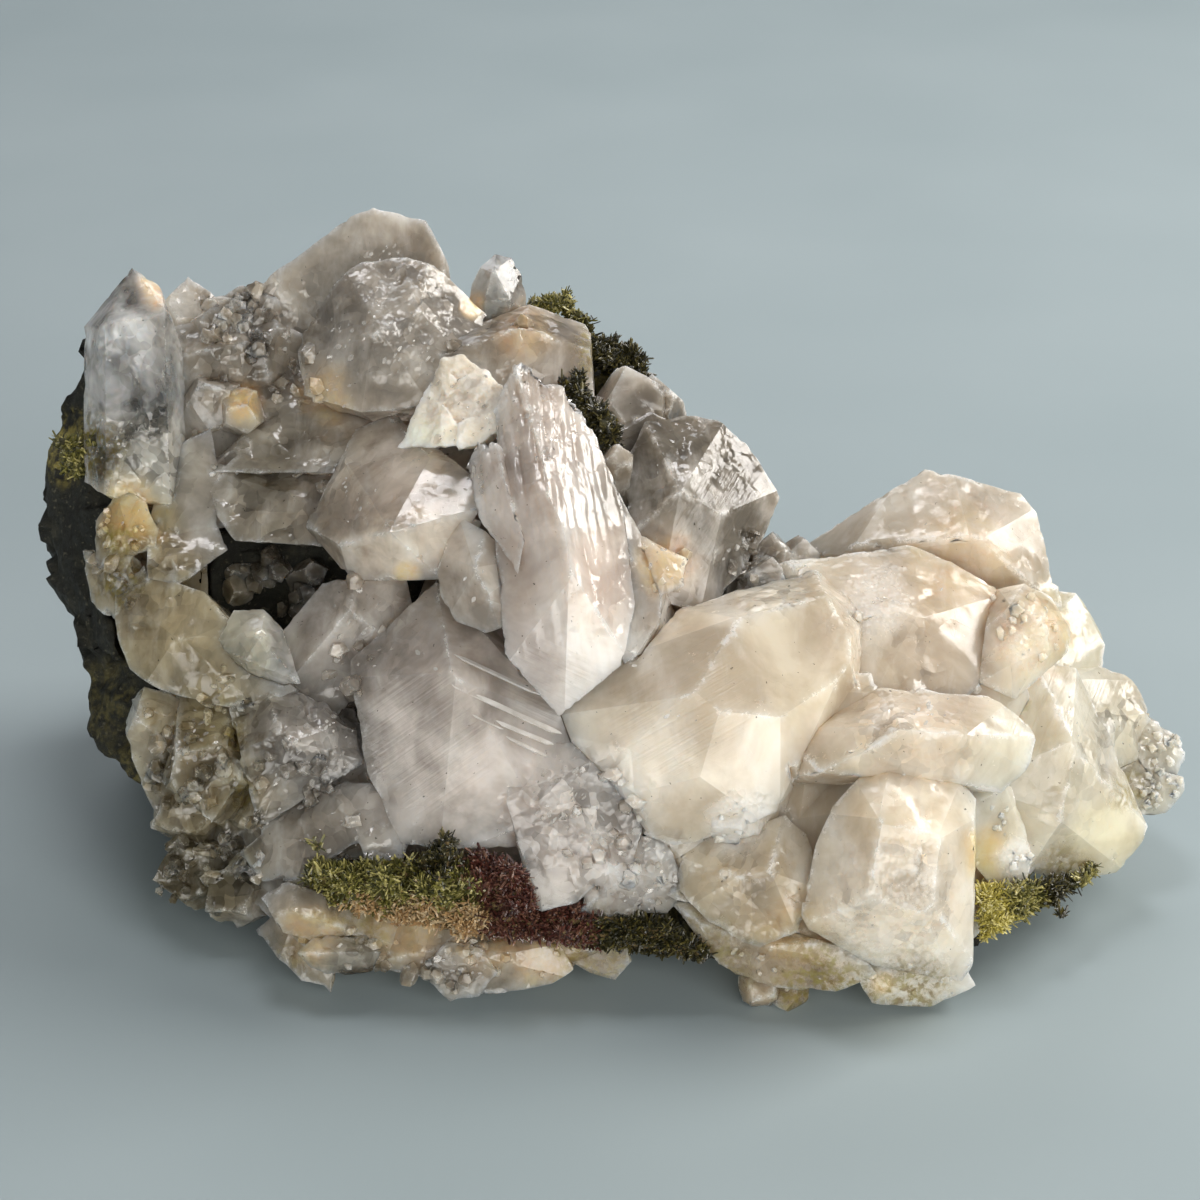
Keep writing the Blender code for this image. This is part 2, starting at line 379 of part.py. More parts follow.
# Lumps of dark host rock, each by its corners.
ROCK_LUMPS = {
    "left_slab": [
        (-51.5, 25.8, -2), (-55.2, 20, 0), (-56.2, 13, 0), (-55.4, 8, 0), (-54.4, 0, -2), (-51.4, -5, -5),
        (-49, -5.5, -8), (-44, 26, -4), (-40, 10, -6), (-42, -6, -8), (-50, 22, 10), (-54, 10, 11),
        (-51, -4, 12), (-40, 20, 14), (-38, 0, 16), (-42, -6, 14),
    ],
    "left_foot": [
        (-51.8, -3, -1), (-51.8, -8, -3), (-50.4, -14, -4), (-45.4, -19, -4.5), (-40, -19, -10), (-44, -3, -9),
        (-38, -4, -8), (-38, -16, 16), (-46, -10, 15), (-50, -4, 10), (-40, -2, 16),
    ],
    "mound_core": [
        (-42, 24, -3), (-30, 27.5, -3), (-15, 28.5, -2), (-5, 28.5, -3), (1, 24, -6), (6, 19, -6),
        (14, 10, -8), (-44, -8, -9), (-30, -14, -12), (-10, -14, -15), (5, -18, -16), (18, -5, -8),
        (-36, 25, 8), (-15, 26, 8), (0, 22, 8), (10, 14, 10), (-42, 8, 17), (-20, 6, 21), (0, 3, 21),
        (15, 0, 19), (-38, -10, 19), (-20, -12, 22), (8, -12, 22),
    ],
    "back_ledge": [
        (-34, 5, 22), (-24, 8, 24), (-14, 4, 24.5), (-15, -6, 25.5), (-30, -8, 24), (-36, -2, 20), (-24, 0, 10),
        (-20, 12, 16), (-33, 11, 15),
    ],
    "back_step": [
        (1, 8, 17), (11, 6, 18), (18, -4, 20), (12, -11, 23), (-3, -10, 25), (-5, 0, 23.5), (6, 10, 12), (10, -2, 8),
    ],
    "front_base": [
        (-36, -24, -13), (-27, -32, -19), (-12, -34, -23), (4, -33, -24), (-30, -18, -13), (0, -22, -16),
        (-38, -10, 17), (-20, -12, 20), (6, -12, 20), (10, -30, -20),
    ],
    "wing_base": [
        (12, 1, -6), (30, 1, -6), (42, -3, -6), (48, -9, -5), (8, -33, -25), (24, -36, -26), (36, -36, -25),
        (44, -28, -18), (50, -20, -12), (12, 0, 18), (28, -3, 18), (42, -7, 14), (50, -13, 7),
        (14, -14, 21), (35, -15, 18), (46, -18, 9), (4, -20, -14),
    ],
}

# Epidote crusts: the corners of the bed, knobs as (across, up, depth, radius), the number of needles, and the
# way that the needles point as (across, up, depth).
CRUSTS = {
    "epidote_crust_top": [
        [
            (-8, 28, -4), (-8, 29.6, -8), (-1, 26.2, -9.5), (6, 20.4, -10.5), (7.5, 16.5, -7), (-6, 26, -3),
            (3, 21, -3),
        ],
        [
            (-7, 29.4, -6, 2.0), (-4.4, 29.2, -6.5, 2.2), (-2, 27.4, -7, 2.2), (-0.4, 25, -7.5, 2.1),
            (1.6, 24, -7.5, 2.2), (3.6, 23.6, -7.5, 2.2), (5.6, 21.4, -8.5, 2.0), (7.3, 19, -9.5, 1.5),
        ],
        7,
        (0.25, 0.9, -0.3),
    ],
    "epidote_crust_middle": [
        [
            (-4.2, 21.8, -20.8), (-1.4, 21.6, -19.4), (1.6, 18, -19.8), (2.4, 14.8, -20.8), (0.2, 13.8, -22.5),
            (-2.6, 18.4, -23.2), (-1, 17, -18), (1, 15, -18.4),
        ],
        [(-2.8, 20.6, -20.6, 1.7), (-0.9, 18.8, -20.8, 2.0), (1, 16, -21, 1.7)],
        4,
        (0.1, 0.4, -0.9),
    ],
    "epidote_crust_front": [
        [
            (-30, -27, -28.8), (-28, -30.5, -30.4), (-20, -32.6, -31.2), (-10, -33.4, -32), (0, -33.6, -31),
            (8, -33.2, -30.6), (11, -35.6, -30.4), (9, -36, -29.4), (-10, -25.6, -32.6), (-16, -25, -31.8),
            (-24, -26, -30.6), (-30, -29, -27.6), (-8, -34.4, -29), (4, -31, -30),
        ],
        [
            (-28.2, -27, -30, 2.2), (-24.6, -27.8, -31, 2.5), (-20.8, -28.6, -31.6, 2.6), (-16.2, -25.6, -32.4, 2.6),
            (-17, -29.6, -32.2, 2.7), (-12.6, -28, -33, 2.8), (-9.2, -26.8, -33.4, 2.4), (-8, -30.2, -32.8, 2.4),
            (-13.4, -32.2, -32, 2.2), (-3, -33, -31.4, 1.7), (2.4, -33, -31, 1.7), (7, -32.6, -30.8, 1.8),
            (10.4, -35.2, -30.8, 1.3),
        ],
        9,
        (-0.1, 0.2, -1.0),
    ],
    "epidote_crust_right": [
        [
            (37.6, -29, -30.8), (38, -34.4, -30.2), (40, -33.4, -29.6), (44, -30.4, -26.6), (49, -28.6, -21.4),
            (48.4, -27.4, -21.6), (42, -28.2, -28.4), (39, -31, -25), (46, -28.6, -20.4),
        ],
        [
            (38.6, -30, -30.4, 1.9), (39.4, -32.4, -29.8, 1.8), (42, -29.6, -28.6, 1.8), (45.4, -28.9, -25.2, 1.6),
            (48.4, -28.2, -22, 1.3),
        ],
        5,
        (0.6, -0.45, -0.8),
    ],
    "epidote_crust_left": [
        [
            (-53.4, 15, -6), (-52.6, 15.6, -10), (-50.2, 16.4, -14.4), (-49.2, 14, -15.6), (-50.4, 11.8, -13),
            (-53, 12, -8), (-51, 14, -5),
        ],
        [(-51.8, 14.6, -10, 1.7), (-50.4, 13.2, -13.4, 1.7), (-50, 15.6, -13.4, 1.5)],
        4,
        (-0.6, 0.1, -0.9),
    ],
}
KNOB_CORNERS = 8

COLOURS = {
    "matrix_rock": ((0.035, 0.036, 0.026), 0.75),
    "quartz_grey_cluster": ((0.36, 0.34, 0.31), 0.18),
    "quartz_milky_cluster": ((0.62, 0.54, 0.45), 0.30),
    "epidote_crust_top": ((0.030, 0.032, 0.012), 0.40),
    "epidote_crust_middle": ((0.030, 0.026, 0.012), 0.40),
    "epidote_crust_front": ((0.16, 0.14, 0.045), 0.50),
    "epidote_crust_right": ((0.42, 0.37, 0.10), 0.50),
    "epidote_crust_left": ((0.10, 0.075, 0.020), 0.55),
}


def clear_scene():
    for thing in list(bpy.data.objects):
        bpy.data.objects.remove(thing, do_unlink=True)


def middle(points):
    return sum(points, Vector()) / len(points)


def block_planes(spots, merge_angle=FACET_MERGE_ANGLE):
    """Flat faces through a cloud of corners, as (direction, distance) with the solid on the inner side."""
    mesh = bmesh.new()
    for spot in spots:
        mesh.verts.new(place(spot))
    bmesh.ops.convex_hull(mesh, input=mesh.verts)
    mesh.normal_update()
    groups = []
    for face in sorted(mesh.faces, key=lambda f: -f.calc_area()):
        for group in groups:
            if face.normal.angle(group[0].normal, math.pi) < merge_angle:
                group.append(face)
                break
        else:
            groups.append([face])
    planes = []
    whole = sum(f.calc_area() for f in mesh.faces)
    for group in groups:
        direction = sum((f.normal * f.calc_area() for f in group), Vector()).normalized()
        area = sum(f.calc_area() for f in group)
        if area < SMALL_FACET * whole:
            continue
        average = sum(direction.dot(f.calc_center_median()) * f.calc_area() for f in group) / area
        furthest = max(direction.dot(v.co) for f in group for v in f.verts)
        distance = (average + furthest) / 2
        planes.append((direction, distance))
    mesh.free()
    return planes


def prism_planes(foot_spot, point_spot, width, thickness, turn):
    """Faces of a hexagonal quartz prism with three major and three minor faces at its point."""
    foot, point = place(foot_spot), place(point_spot)
    axis = (point - foot).normalized()
    side = axis.cross(BACK).normalized()
    front = side.cross(axis)
    planes = [(-axis, -axis.dot(foot))]
    for k in range(6):
        angle = math.radians(60 * k + turn)
        outward = side * math.cos(angle) + front * math.sin(angle)
        reach = 0.5 * (width * abs(math.cos(angle)) ** 2 + thickness * abs(math.sin(angle)) ** 2)
        planes.append((outward, outward.dot(foot) + reach))
        slope = (outward * math.cos(POINT_FACE_ANGLE) + axis * math.sin(POINT_FACE_ANGLE)).normalized()
        offset = (k % 2) * MINOR_FACE_OFFSET * width
        planes.append((slope, slope.dot(point) + offset))
    return planes


def solid_from_planes(planes, centre, grow=0.0, size=160.0):
    """Mesh of the space inside all the planes, cut out of a cube."""
    mesh = bmesh.new()
    bmesh.ops.create_cube(mesh, size=size, matrix=Matrix.Translation(centre))
    for direction, distance in planes:
        cut = bmesh.ops.bisect_plane(
            mesh,
            geom=mesh.verts[:] + mesh.edges[:] + mesh.faces[:],
            dist=1e-4,
            plane_co=direction * (distance + grow),
            plane_no=direction,
            clear_outer=True,
        )
        rim = [item for item in cut["geom_cut"] if isinstance(item, bmesh.types.BMEdge)]
        if rim:
            bmesh.ops.edgeloop_fill(mesh, edges=rim)
    bmesh.ops.remove_doubles(mesh, verts=mesh.verts, dist=0.02)
    bmesh.ops.dissolve_degenerate(mesh, edges=mesh.edges, dist=0.02)
    bmesh.ops.recalc_face_normals(mesh, faces=mesh.faces)
    return mesh


def to_object(name, mesh):
    """Object of a bmesh, in millimetres."""
    data = bpy.data.meshes.new(name)
    mesh.to_mesh(data)
    mesh.free()
    thing = bpy.data.objects.new(name, data)
    bpy.context.scene.collection.objects.link(thing)
    return thing


def evaluated_mesh(thing):
    depsgraph = bpy.context.evaluated_depsgraph_get()
    return bpy.data.meshes.new_from_object(thing.evaluated_get(depsgraph))


def combine(thing, others, operation):
    """Joins solids to an object, or cuts them out of it, and takes them away."""
    group = bpy.data.collections.new("operands")
    bpy.context.scene.collection.children.link(group)
    for other in others:
        bpy.context.scene.collection.objects.unlink(other)
        group.objects.link(other)
    change = thing.modifiers.new(operation.lower(), "BOOLEAN")
    change.operation = operation
    change.operand_type = "COLLECTION"
    change.collection = group
    change.solver = "EXACT"
    data = evaluated_mesh(thing)
    thing.modifiers.clear()
    thing.data = data
    for other in others:
        bpy.data.objects.remove(other, do_unlink=True)
    bpy.data.collections.remove(group)
    return thing


def bodies(mesh):
    """Faces of each separate body of a mesh."""
    left = set(mesh.faces)
    found = []
    while left:
        start = left.pop()
        body, edge = [start], [start]
        while edge:
            face = edge.pop()
            for rim in face.edges:
                for near in rim.link_faces:
                    if near in left and len(rim.link_faces) == 2:
                        left.remove(near)
                        body.append(near)
                        edge.append(near)
        found.append(body)
    return found


def body_volume(body):
    """Signed volume of a closed body of triangles."""
    total = 0.0
    for face in body:
        a, b, c = (v.co for v in face.verts)
        total += a.dot(b.cross(c)) / 6.0
    return total


def keep_largest_body(thing):
    """Drops loose chips and sealed hollows, and leaves one clean body of triangles."""
    mesh = bmesh.new()
    mesh.from_mesh(thing.data)
    bmesh.ops.remove_doubles(mesh, verts=mesh.verts, dist=0.002)
    bmesh.ops.dissolve_limit(mesh, angle_limit=FLAT_ANGLE, verts=mesh.verts, edges=mesh.edges)
    bmesh.ops.triangulate(mesh, faces=mesh.faces)
    found = sorted(bodies(mesh), key=body_volume, reverse=True)
    loose = [face for body in found[1:] for face in body]
    bmesh.ops.delete(mesh, geom=loose, context="FACES")
    mesh.to_mesh(thing.data)
    mesh.free()


def all_crystals():
    """Planes and centre of every crystal, by cluster."""
    clusters = {"quartz_grey_cluster": {}, "quartz_milky_cluster": {}}
    for cluster, blocks in (("quartz_grey_cluster", GREY_BLOCKS), ("quartz_milky_cluster", MILKY_BLOCKS)):
        for name, spots in blocks.items():
            clusters[cluster][name] = (block_planes(spots), middle([place(s) for s in spots]))
    for cluster, prisms in (("quartz_grey_cluster", GREY_PRISMS), ("quartz_milky_cluster", MILKY_PRISMS)):
        for name, (foot, point, width, thickness, turn) in prisms.items():
            planes = prism_planes(foot, point, width, thickness, turn)
            clusters[cluster][name] = (planes, middle([place(foot), place(point)]))
    return clusters


def crystal_solids(crystals, grow=0.0):
    return [to_object(name, solid_from_planes(*parts, grow=grow)) for name, parts in crystals.items()]


def cluster_solid(name, crystals, grow=0.0):
    """Crystals grown together, joined in one solid."""
    solids = crystal_solids(crystals, grow)
    thing = combine(solids[0], solids[1:], "UNION")
    thing.name = name
    return thing


def rock_lump(name, spots, grow=0.0):
    """A rough, angular lump of rock."""
    planes = block_planes(spots, ROCK_MERGE_ANGLE)
    mesh = solid_from_planes(planes, middle([place(s) for s in spots]), grow=grow)
    bmesh.ops.triangulate(mesh, faces=mesh.faces)
    long_edges = [e for e in mesh.edges if e.calc_length() > LONG_ROCK_EDGE]
    bmesh.ops.subdivide_edges(mesh, edges=long_edges, cuts=1)
    mesh.normal_update()
    rough = bmesh.new()
    for vert in mesh.verts:
        rough.verts.new(vert.co + vert.normal * ROCK_ROUGHNESS * noise.noise(vert.co / ROCK_GRAIN))
    mesh.free()
    hull = bmesh.ops.convex_hull(rough, input=rough.verts)
    bmesh.ops.delete(rough, geom=hull["geom_interior"], context="VERTS")
    bmesh.ops.recalc_face_normals(rough, faces=rough.faces)
    return to_object(name, rough)


def rock_solid(name, grow=0.0):
    lumps = [rock_lump(lump, spots, grow) for lump, spots in ROCK_LUMPS.items()]
    thing = combine(lumps[0], lumps[1:], "UNION")
    thing.name = name
    return thing


def knob(spot, radius, draw):
    """A small angular lump, as the hull of corners scattered on a ball."""
    mesh = bmesh.new()
    centre = place(spot)
    for _ in range(KNOB_CORNERS):
        direction = Vector((draw.gauss(0, 1), draw.gauss(0, 1), draw.gauss(0, 1))).normalized()
        mesh.verts.new(centre + direction * radius * draw.uniform(0.9, 1.1))
    bmesh.ops.convex_hull(mesh, input=mesh.verts)
    bmesh.ops.recalc_face_normals(mesh, faces=mesh.faces)
    return to_object("knob", mesh)


def random_spot(face, vertices, draw):
    """A point spread evenly over a triangle."""
    a, b, c = (vertices[v].co for v in face.vertices)
    along, across = draw.random(), draw.random()
    if along + across > 1:
        along, across = 1 - along, 1 - across
    return a + (b - a) * along + (c - a) * across


def crust_solid(name, bed, knobs, count, way, seed):
    """An epidote crust: a bed with knobs grown together, and coarse needles fused to them."""
    draw = random.Random(seed)
    across, up, depth = way
    outward = (RIGHT * across + UP * up + BACK * depth).normalized()
    parts = [to_object("bed", solid_from_planes(block_planes(bed), middle([place(s) for s in bed])))]
    parts += [knob(spot, radius, draw) for *spot, radius in knobs]
    surface = []
    for part in parts[1:]:
        for face in part.data.polygons:
            if face.normal.dot(outward) > 0.1:
                surface.append((part.data, face))
    for _ in range(count):
        data, face = draw.choices(surface, weights=[f.area for _data, f in surface])[0]
        root = random_spot(face, data.vertices, draw)
        spread = Vector((draw.uniform(-1, 1), draw.uniform(-1, 1), draw.uniform(-1, 1)))
        direction = (face.normal * 0.5 + outward * 0.5 + spread * 0.6).normalized()
        length = draw.uniform(*NEEDLE_LENGTH)
        parts.append(needle(root - direction * length * 0.55, direction, length, draw.uniform(*NEEDLE_WIDTH)))
    thing = combine(parts[0], parts[1:], "UNION")
    thing.name = name
    return thing


def needle(root, direction, length, width):
    """A three-sided needle that tapers to a blunt tip."""
    mesh = bmesh.new()
    turned = direction.to_track_quat("Z", "Y").to_matrix().to_4x4()
    bmesh.ops.create_cone(
        mesh,
        cap_ends=True,
        segments=3,
        radius1=width * 0.62,
        radius2=width * 0.2,
        depth=length,
        matrix=Matrix.Translation(root + direction * length / 2) @ turned,
    )
    return to_object("needle", mesh)


def cut_at_table(thing):
    """Cuts off what would reach below the table."""
    mesh = bmesh.new()
    below = Matrix.Translation((0, 0, -20)) @ Matrix.Diagonal((400, 400, 40, 1))
    bmesh.ops.create_cube(mesh, size=1.0, matrix=below)
    combine(thing, [to_object("table", mesh)], "DIFFERENCE")


def paint(thing):
    """Gives an object its own material."""
    colour, roughness = COLOURS[thing.name]
    material = bpy.data.materials.new(thing.name)
    material.use_nodes = True
    shader = material.node_tree.nodes["Principled BSDF"]
    shader.inputs["Base Color"].default_value = (*colour, 1.0)
    shader.inputs["Roughness"].default_value = roughness
    shader.inputs["Metallic"].default_value = 0.0
    thing.data.materials.clear()
    thing.data.materials.append(material)


def settle(things):
    """Puts the origin under the middle of the specimen, at table height, and turns millimetres into metres."""
    corners = [v.co for thing in things for v in thing.data.vertices]
    low = [min(c[k] for c in corners) for k in range(3)]
    high = [max(c[k] for c in corners) for k in range(3)]
    shift = Vector((-(low[0] + high[0]) / 2, -(low[1] + high[1]) / 2, -low[2]))
    for thing in things:
        thing.data.transform(Matrix.Scale(MM, 4) @ Matrix.Translation(shift))


def main():
    clear_scene()
    clusters = all_crystals()
    grey = clusters["quartz_grey_cluster"]
    milky = clusters["quartz_milky_cluster"]

    grey_cluster = cluster_solid("quartz_grey_cluster", grey)
    milky_cluster = cluster_solid("quartz_milky_cluster", milky)
    combine(milky_cluster, [cluster_solid("contact", grey, GAP)], "DIFFERENCE")

    rock = rock_solid("matrix_rock")
    combine(rock, crystal_solids(grey, GAP) + crystal_solids(milky, GAP), "DIFFERENCE")

    crusts = []
    for number, (name, (bed, knobs, count, way)) in enumerate(CRUSTS.items()):
        crust = crust_solid(name, bed, knobs, count, way, number)
        combine(crust, crystal_solids(grey, GAP) + crystal_solids(milky, GAP), "DIFFERENCE")
        combine(crust, [rock_solid("socket", GAP)], "DIFFERENCE")
        crusts.append(crust)

    things = [rock, grey_cluster, milky_cluster] + crusts
    for thing in things:
        cut_at_table(thing)
        keep_largest_body(thing)
        paint(thing)
    settle(things)


main()
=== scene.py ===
"""Epidote in quartz: the looks of the specimen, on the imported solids.

Places are given as in the solids' own source: (across, up, depth) in millimetres in the picture plane of someone who
looks at the specimen from the front and a little from above, with depth measured away from the viewer.
"""

import math
import random

import bmesh
import bpy
import numpy as np
from mathutils import Matrix, Vector, noise
from mathutils.bvhtree import BVHTree
from mathutils.kdtree import KDTree


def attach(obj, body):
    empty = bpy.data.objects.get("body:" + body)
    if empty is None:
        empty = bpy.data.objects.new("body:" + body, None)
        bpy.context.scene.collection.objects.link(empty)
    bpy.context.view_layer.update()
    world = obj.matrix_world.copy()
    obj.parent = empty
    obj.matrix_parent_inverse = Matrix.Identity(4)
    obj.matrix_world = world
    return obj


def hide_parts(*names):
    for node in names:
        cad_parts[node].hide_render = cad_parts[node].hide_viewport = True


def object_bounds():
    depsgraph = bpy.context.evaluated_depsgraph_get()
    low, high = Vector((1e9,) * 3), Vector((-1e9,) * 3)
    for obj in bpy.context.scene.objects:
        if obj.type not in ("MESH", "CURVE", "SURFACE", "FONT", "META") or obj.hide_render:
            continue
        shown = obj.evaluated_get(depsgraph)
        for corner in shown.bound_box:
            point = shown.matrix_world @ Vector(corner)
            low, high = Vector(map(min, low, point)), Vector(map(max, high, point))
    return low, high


MM = 0.001
VIEW_ELEVATION = math.radians(26.0)
VIEW_DISTANCE = 340.0
VIEW_CENTRE = Vector((-0.2863, 11.0792, 20.7))
VIEW_WIDTH = 120.0
RIGHT = Vector((1.0, 0.0, 0.0))
UP = Vector((0.0, math.sin(VIEW_ELEVATION), math.cos(VIEW_ELEVATION)))
BACK = Vector((0.0, math.cos(VIEW_ELEVATION), -math.sin(VIEW_ELEVATION)))
FACET_MERGE_ANGLE = math.radians(14.0)
SMALL_FACET = 0.004
SHARP_ANGLE = math.radians(17.0)
RIM_ANGLE = math.radians(32.0)

POINT_FACE_ANGLE = math.radians(38.2)
MINOR_FACE_OFFSET = 0.14

QUARTZ_IOR = 1.544

# Crystals that are clear or have a skin of their own, by the same corners as their solids.
CRYSTALS = {
    "tall_prism": [
        (-49.5, 10.5, -15), (-43, 9.6, -15.5), (-49.5, 27.5, -15), (-43.5, 29, -15), (-51.6, 12, -11),
        (-51.6, 27.3, -11), (-41.2, 11.5, -12), (-41.8, 25.5, -12), (-49.5, 11, -5.5), (-43, 11, -6),
        (-49.5, 27, -6), (-43.5, 27, -6), (-46.8, 33.2, -11), (-44, 31.4, -11), (-45, 9, -10),
    ],
    "rear_tip": [
        (-13.3, 29, -8), (-12.8, 31.6, -8), (-11.9, 33.4, -8), (-10.4, 34.6, -7.5), (-8.9, 34.2, -7.5),
        (-7.8, 32.4, -7.5), (-7.3, 29, -7.5), (-11.5, 30, -10.5), (-9, 30, -10.3), (-10.6, 33, -9.8),
        (-12.6, 30, -4), (-8, 30, -4), (-10.4, 33, -4.5), (-11, 22, -7), (-9, 22, -4),
    ],
    "bright_point": [
        (-36.6, -1, -24), (-33.5, -1.1, -25.3), (-31.6, -3, -25.8), (-30, -8.3, -27), (-35.5, -6, -28),
        (-37.5, -5, -25.8), (-38.3, -4, -24.8), (-34, -3.8, -28.8), (-36, -4, -15), (-32, -4, -15),
        (-31, -7, -17), (-34, -8.8, -21),
    ],
    "tiny_crystal": [
        (-30.3, -35.3, -30.4), (-28.7, -33.7, -30), (-23.5, -33.5, -30), (-21.9, -35.2, -30.4),
        (-22.8, -37, -30.2), (-25.5, -37.5, -30), (-28.3, -37.1, -30.2), (-28.2, -35.3, -31.9),
        (-24.2, -35.2, -31.9), (-26.2, -34.2, -28), (-25.5, -36.6, -28),
    ],
    "sugary_wedge": [
        (-19.5, 15.4, -24.5), (-18.5, 19, -23.5), (-15.5, 24, -21.8), (-13.8, 24.6, -21.8), (-12, 22.5, -23.3),
        (-9.8, 21.2, -24), (-9.8, 17, -26.5), (-12, 15.7, -27), (-16, 15.2, -27.5), (-17, 16, -16),
        (-11, 16, -16), (-13.5, 23, -15),
    ],
    "centre_blade": [
        (-8.4, 23.6, -25), (-9.8, 20.4, -26), (-5.5, 21.8, -25), (-3.5, 20, -24.5), (-10.2, 15.5, -28.5),
        (-10.8, 9.5, -31), (-8, 3, -33), (-9.4, -4, -33), (-9.2, -5.5, -33), (-4, -11.5, -33.5),
        (-7, -8.4, -33.5), (-1, 17, -24.5), (0, 13, -26), (2.4, 9, -28), (3.4, 0, -30.5), (-5.4, 13, -32.5),
        (-3, 3, -35.5), (2.4, -5.5, -33), (0, -8.2, -33.3), (-8, 15, -19), (-3, 12, -18), (-6, -6, -23),
        (2, 0, -22),
    ],
    "blade_edge": [
        (-12.2, 15.8, -28), (-13.2, 13.9, -28.5), (-12.9, 12, -29.5), (-12.1, 8.2, -31.3), (-11.6, 7.5, -31.8),
        (-9.8, 7.2, -32.4), (-8.2, 3, -33.2), (-7.6, 6, -33.4), (-9.6, 12.5, -31.3), (-10.3, 15.8, -29.5),
        (-9, 12, -25), (-8, 6, -26),
    ],
}


def place(across, up, depth):
    """Millimetres in the specimen's frame."""
    spread = 1.0 + depth / VIEW_DISTANCE
    return VIEW_CENTRE + (RIGHT * across + UP * up) * spread + BACK * depth


def to_picture(points):
    """(across, up, depth) of an array of points in millimetres."""
    away = points - np.array(VIEW_CENTRE)
    depth = away @ np.array(BACK)
    spread = 1.0 + depth / VIEW_DISTANCE
    return away @ np.array(RIGHT) / spread, away @ np.array(UP) / spread, depth


# ---- solids


def block_planes(spots):
    """Flat faces through a cloud of corners, as (direction, distance) with the solid on the inner side."""
    mesh = bmesh.new()
    for spot in spots:
        mesh.verts.new(place(*spot))
    bmesh.ops.convex_hull(mesh, input=mesh.verts)
    mesh.normal_update()
    groups = []
    for face in sorted(mesh.faces, key=lambda f: -f.calc_area()):
        for group in groups:
            if face.normal.angle(group[0].normal, math.pi) < FACET_MERGE_ANGLE:
                group.append(face)
                break
        else:
            groups.append([face])
    whole = sum(f.calc_area() for f in mesh.faces)
    planes = []
    for group in groups:
        direction = sum((f.normal * f.calc_area() for f in group), Vector()).normalized()
        area = sum(f.calc_area() for f in group)
        if area < SMALL_FACET * whole:
            continue
        average = sum(direction.dot(f.calc_center_median()) * f.calc_area() for f in group) / area
        furthest = max(direction.dot(v.co) for f in group for v in f.verts)
        planes.append((direction, (average + furthest) / 2))
    mesh.free()
    return planes


def crystal(name, grow=0.0):
    """A crystal's solid, in millimetres."""
    spots = CRYSTALS[name]
    centre = sum((place(*s) for s in spots), Vector()) / len(spots)
    mesh = bmesh.new()
    bmesh.ops.create_cube(mesh, size=160.0, matrix=Matrix.Translation(centre))
    for direction, distance in block_planes(spots):
        cut = bmesh.ops.bisect_plane(
            mesh,
            geom=mesh.verts[:] + mesh.edges[:] + mesh.faces[:],
            dist=1e-4,
            plane_co=direction * (distance + grow),
            plane_no=direction,
            clear_outer=True,
        )
        rim = [item for item in cut["geom_cut"] if isinstance(item, bmesh.types.BMEdge)]
        if rim:
            bmesh.ops.edgeloop_fill(mesh, edges=rim)
    bmesh.ops.remove_doubles(mesh, verts=mesh.verts, dist=0.02)
    bmesh.ops.dissolve_degenerate(mesh, edges=mesh.edges, dist=0.02)
    bmesh.ops.recalc_face_normals(mesh, faces=mesh.faces)
    return to_object(name, mesh)


def to_object(name, mesh):
    data = bpy.data.meshes.new(name)
    mesh.to_mesh(data)
    mesh.free()
    thing = bpy.data.objects.new(name, data)
    bpy.context.scene.collection.objects.link(thing)
    return thing


def node_solid(name):
    """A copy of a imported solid, in millimetres."""
    mesh = bmesh.new()
    mesh.from_mesh(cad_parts[name].data)
    bmesh.ops.scale(mesh, vec=(1000, 1000, 1000), verts=mesh.verts)
    bmesh.ops.remove_doubles(mesh, verts=mesh.verts, dist=0.001)
    bmesh.ops.recalc_face_normals(mesh, faces=mesh.faces)
    return to_object("copy_" + name, mesh)


def apply_modifiers(thing):
    depsgraph = bpy.context.evaluated_depsgraph_get()
    data = bpy.data.meshes.new_from_object(thing.evaluated_get(depsgraph))
    thing.modifiers.clear()
    thing.data = data


def combine(thing, others, operation):
    """Joins solids to an object, or cuts them out of it, and takes them away."""
    group = bpy.data.collections.new("operands")
    bpy.context.scene.collection.children.link(group)
    for other in others:
        bpy.context.scene.collection.objects.unlink(other)
        group.objects.link(other)
    change = thing.modifiers.new("change", "BOOLEAN")
    change.operation = operation
    change.operand_type = "COLLECTION"
    change.collection = group
    change.solver = "EXACT"
    apply_modifiers(thing)
    for other in others:
        bpy.data.objects.remove(other, do_unlink=True)
    bpy.data.collections.remove(group)
    return thing


def remesh(thing, voxel):
    """An even, closed skin of small faces with lightly rounded edges."""
    change = thing.modifiers.new("skin", "REMESH")
    change.mode = "VOXEL"
    change.voxel_size = voxel
    apply_modifiers(thing)


def hull_object(name, points):
    mesh = bmesh.new()
    for point in points:
        mesh.verts.new(point)
    hull = bmesh.ops.convex_hull(mesh, input=mesh.verts)
    bmesh.ops.delete(mesh, geom=list({*hull["geom_interior"], *hull["geom_unused"]}), context="VERTS")
    bmesh.ops.recalc_face_normals(mesh, faces=mesh.faces)
    return to_object(name, mesh)


def random_direction(draw):
    return Vector((draw.gauss(0, 1), draw.gauss(0, 1), draw.gauss(0, 1))).normalized()


# ---- crystal detail cut and grown in the solids


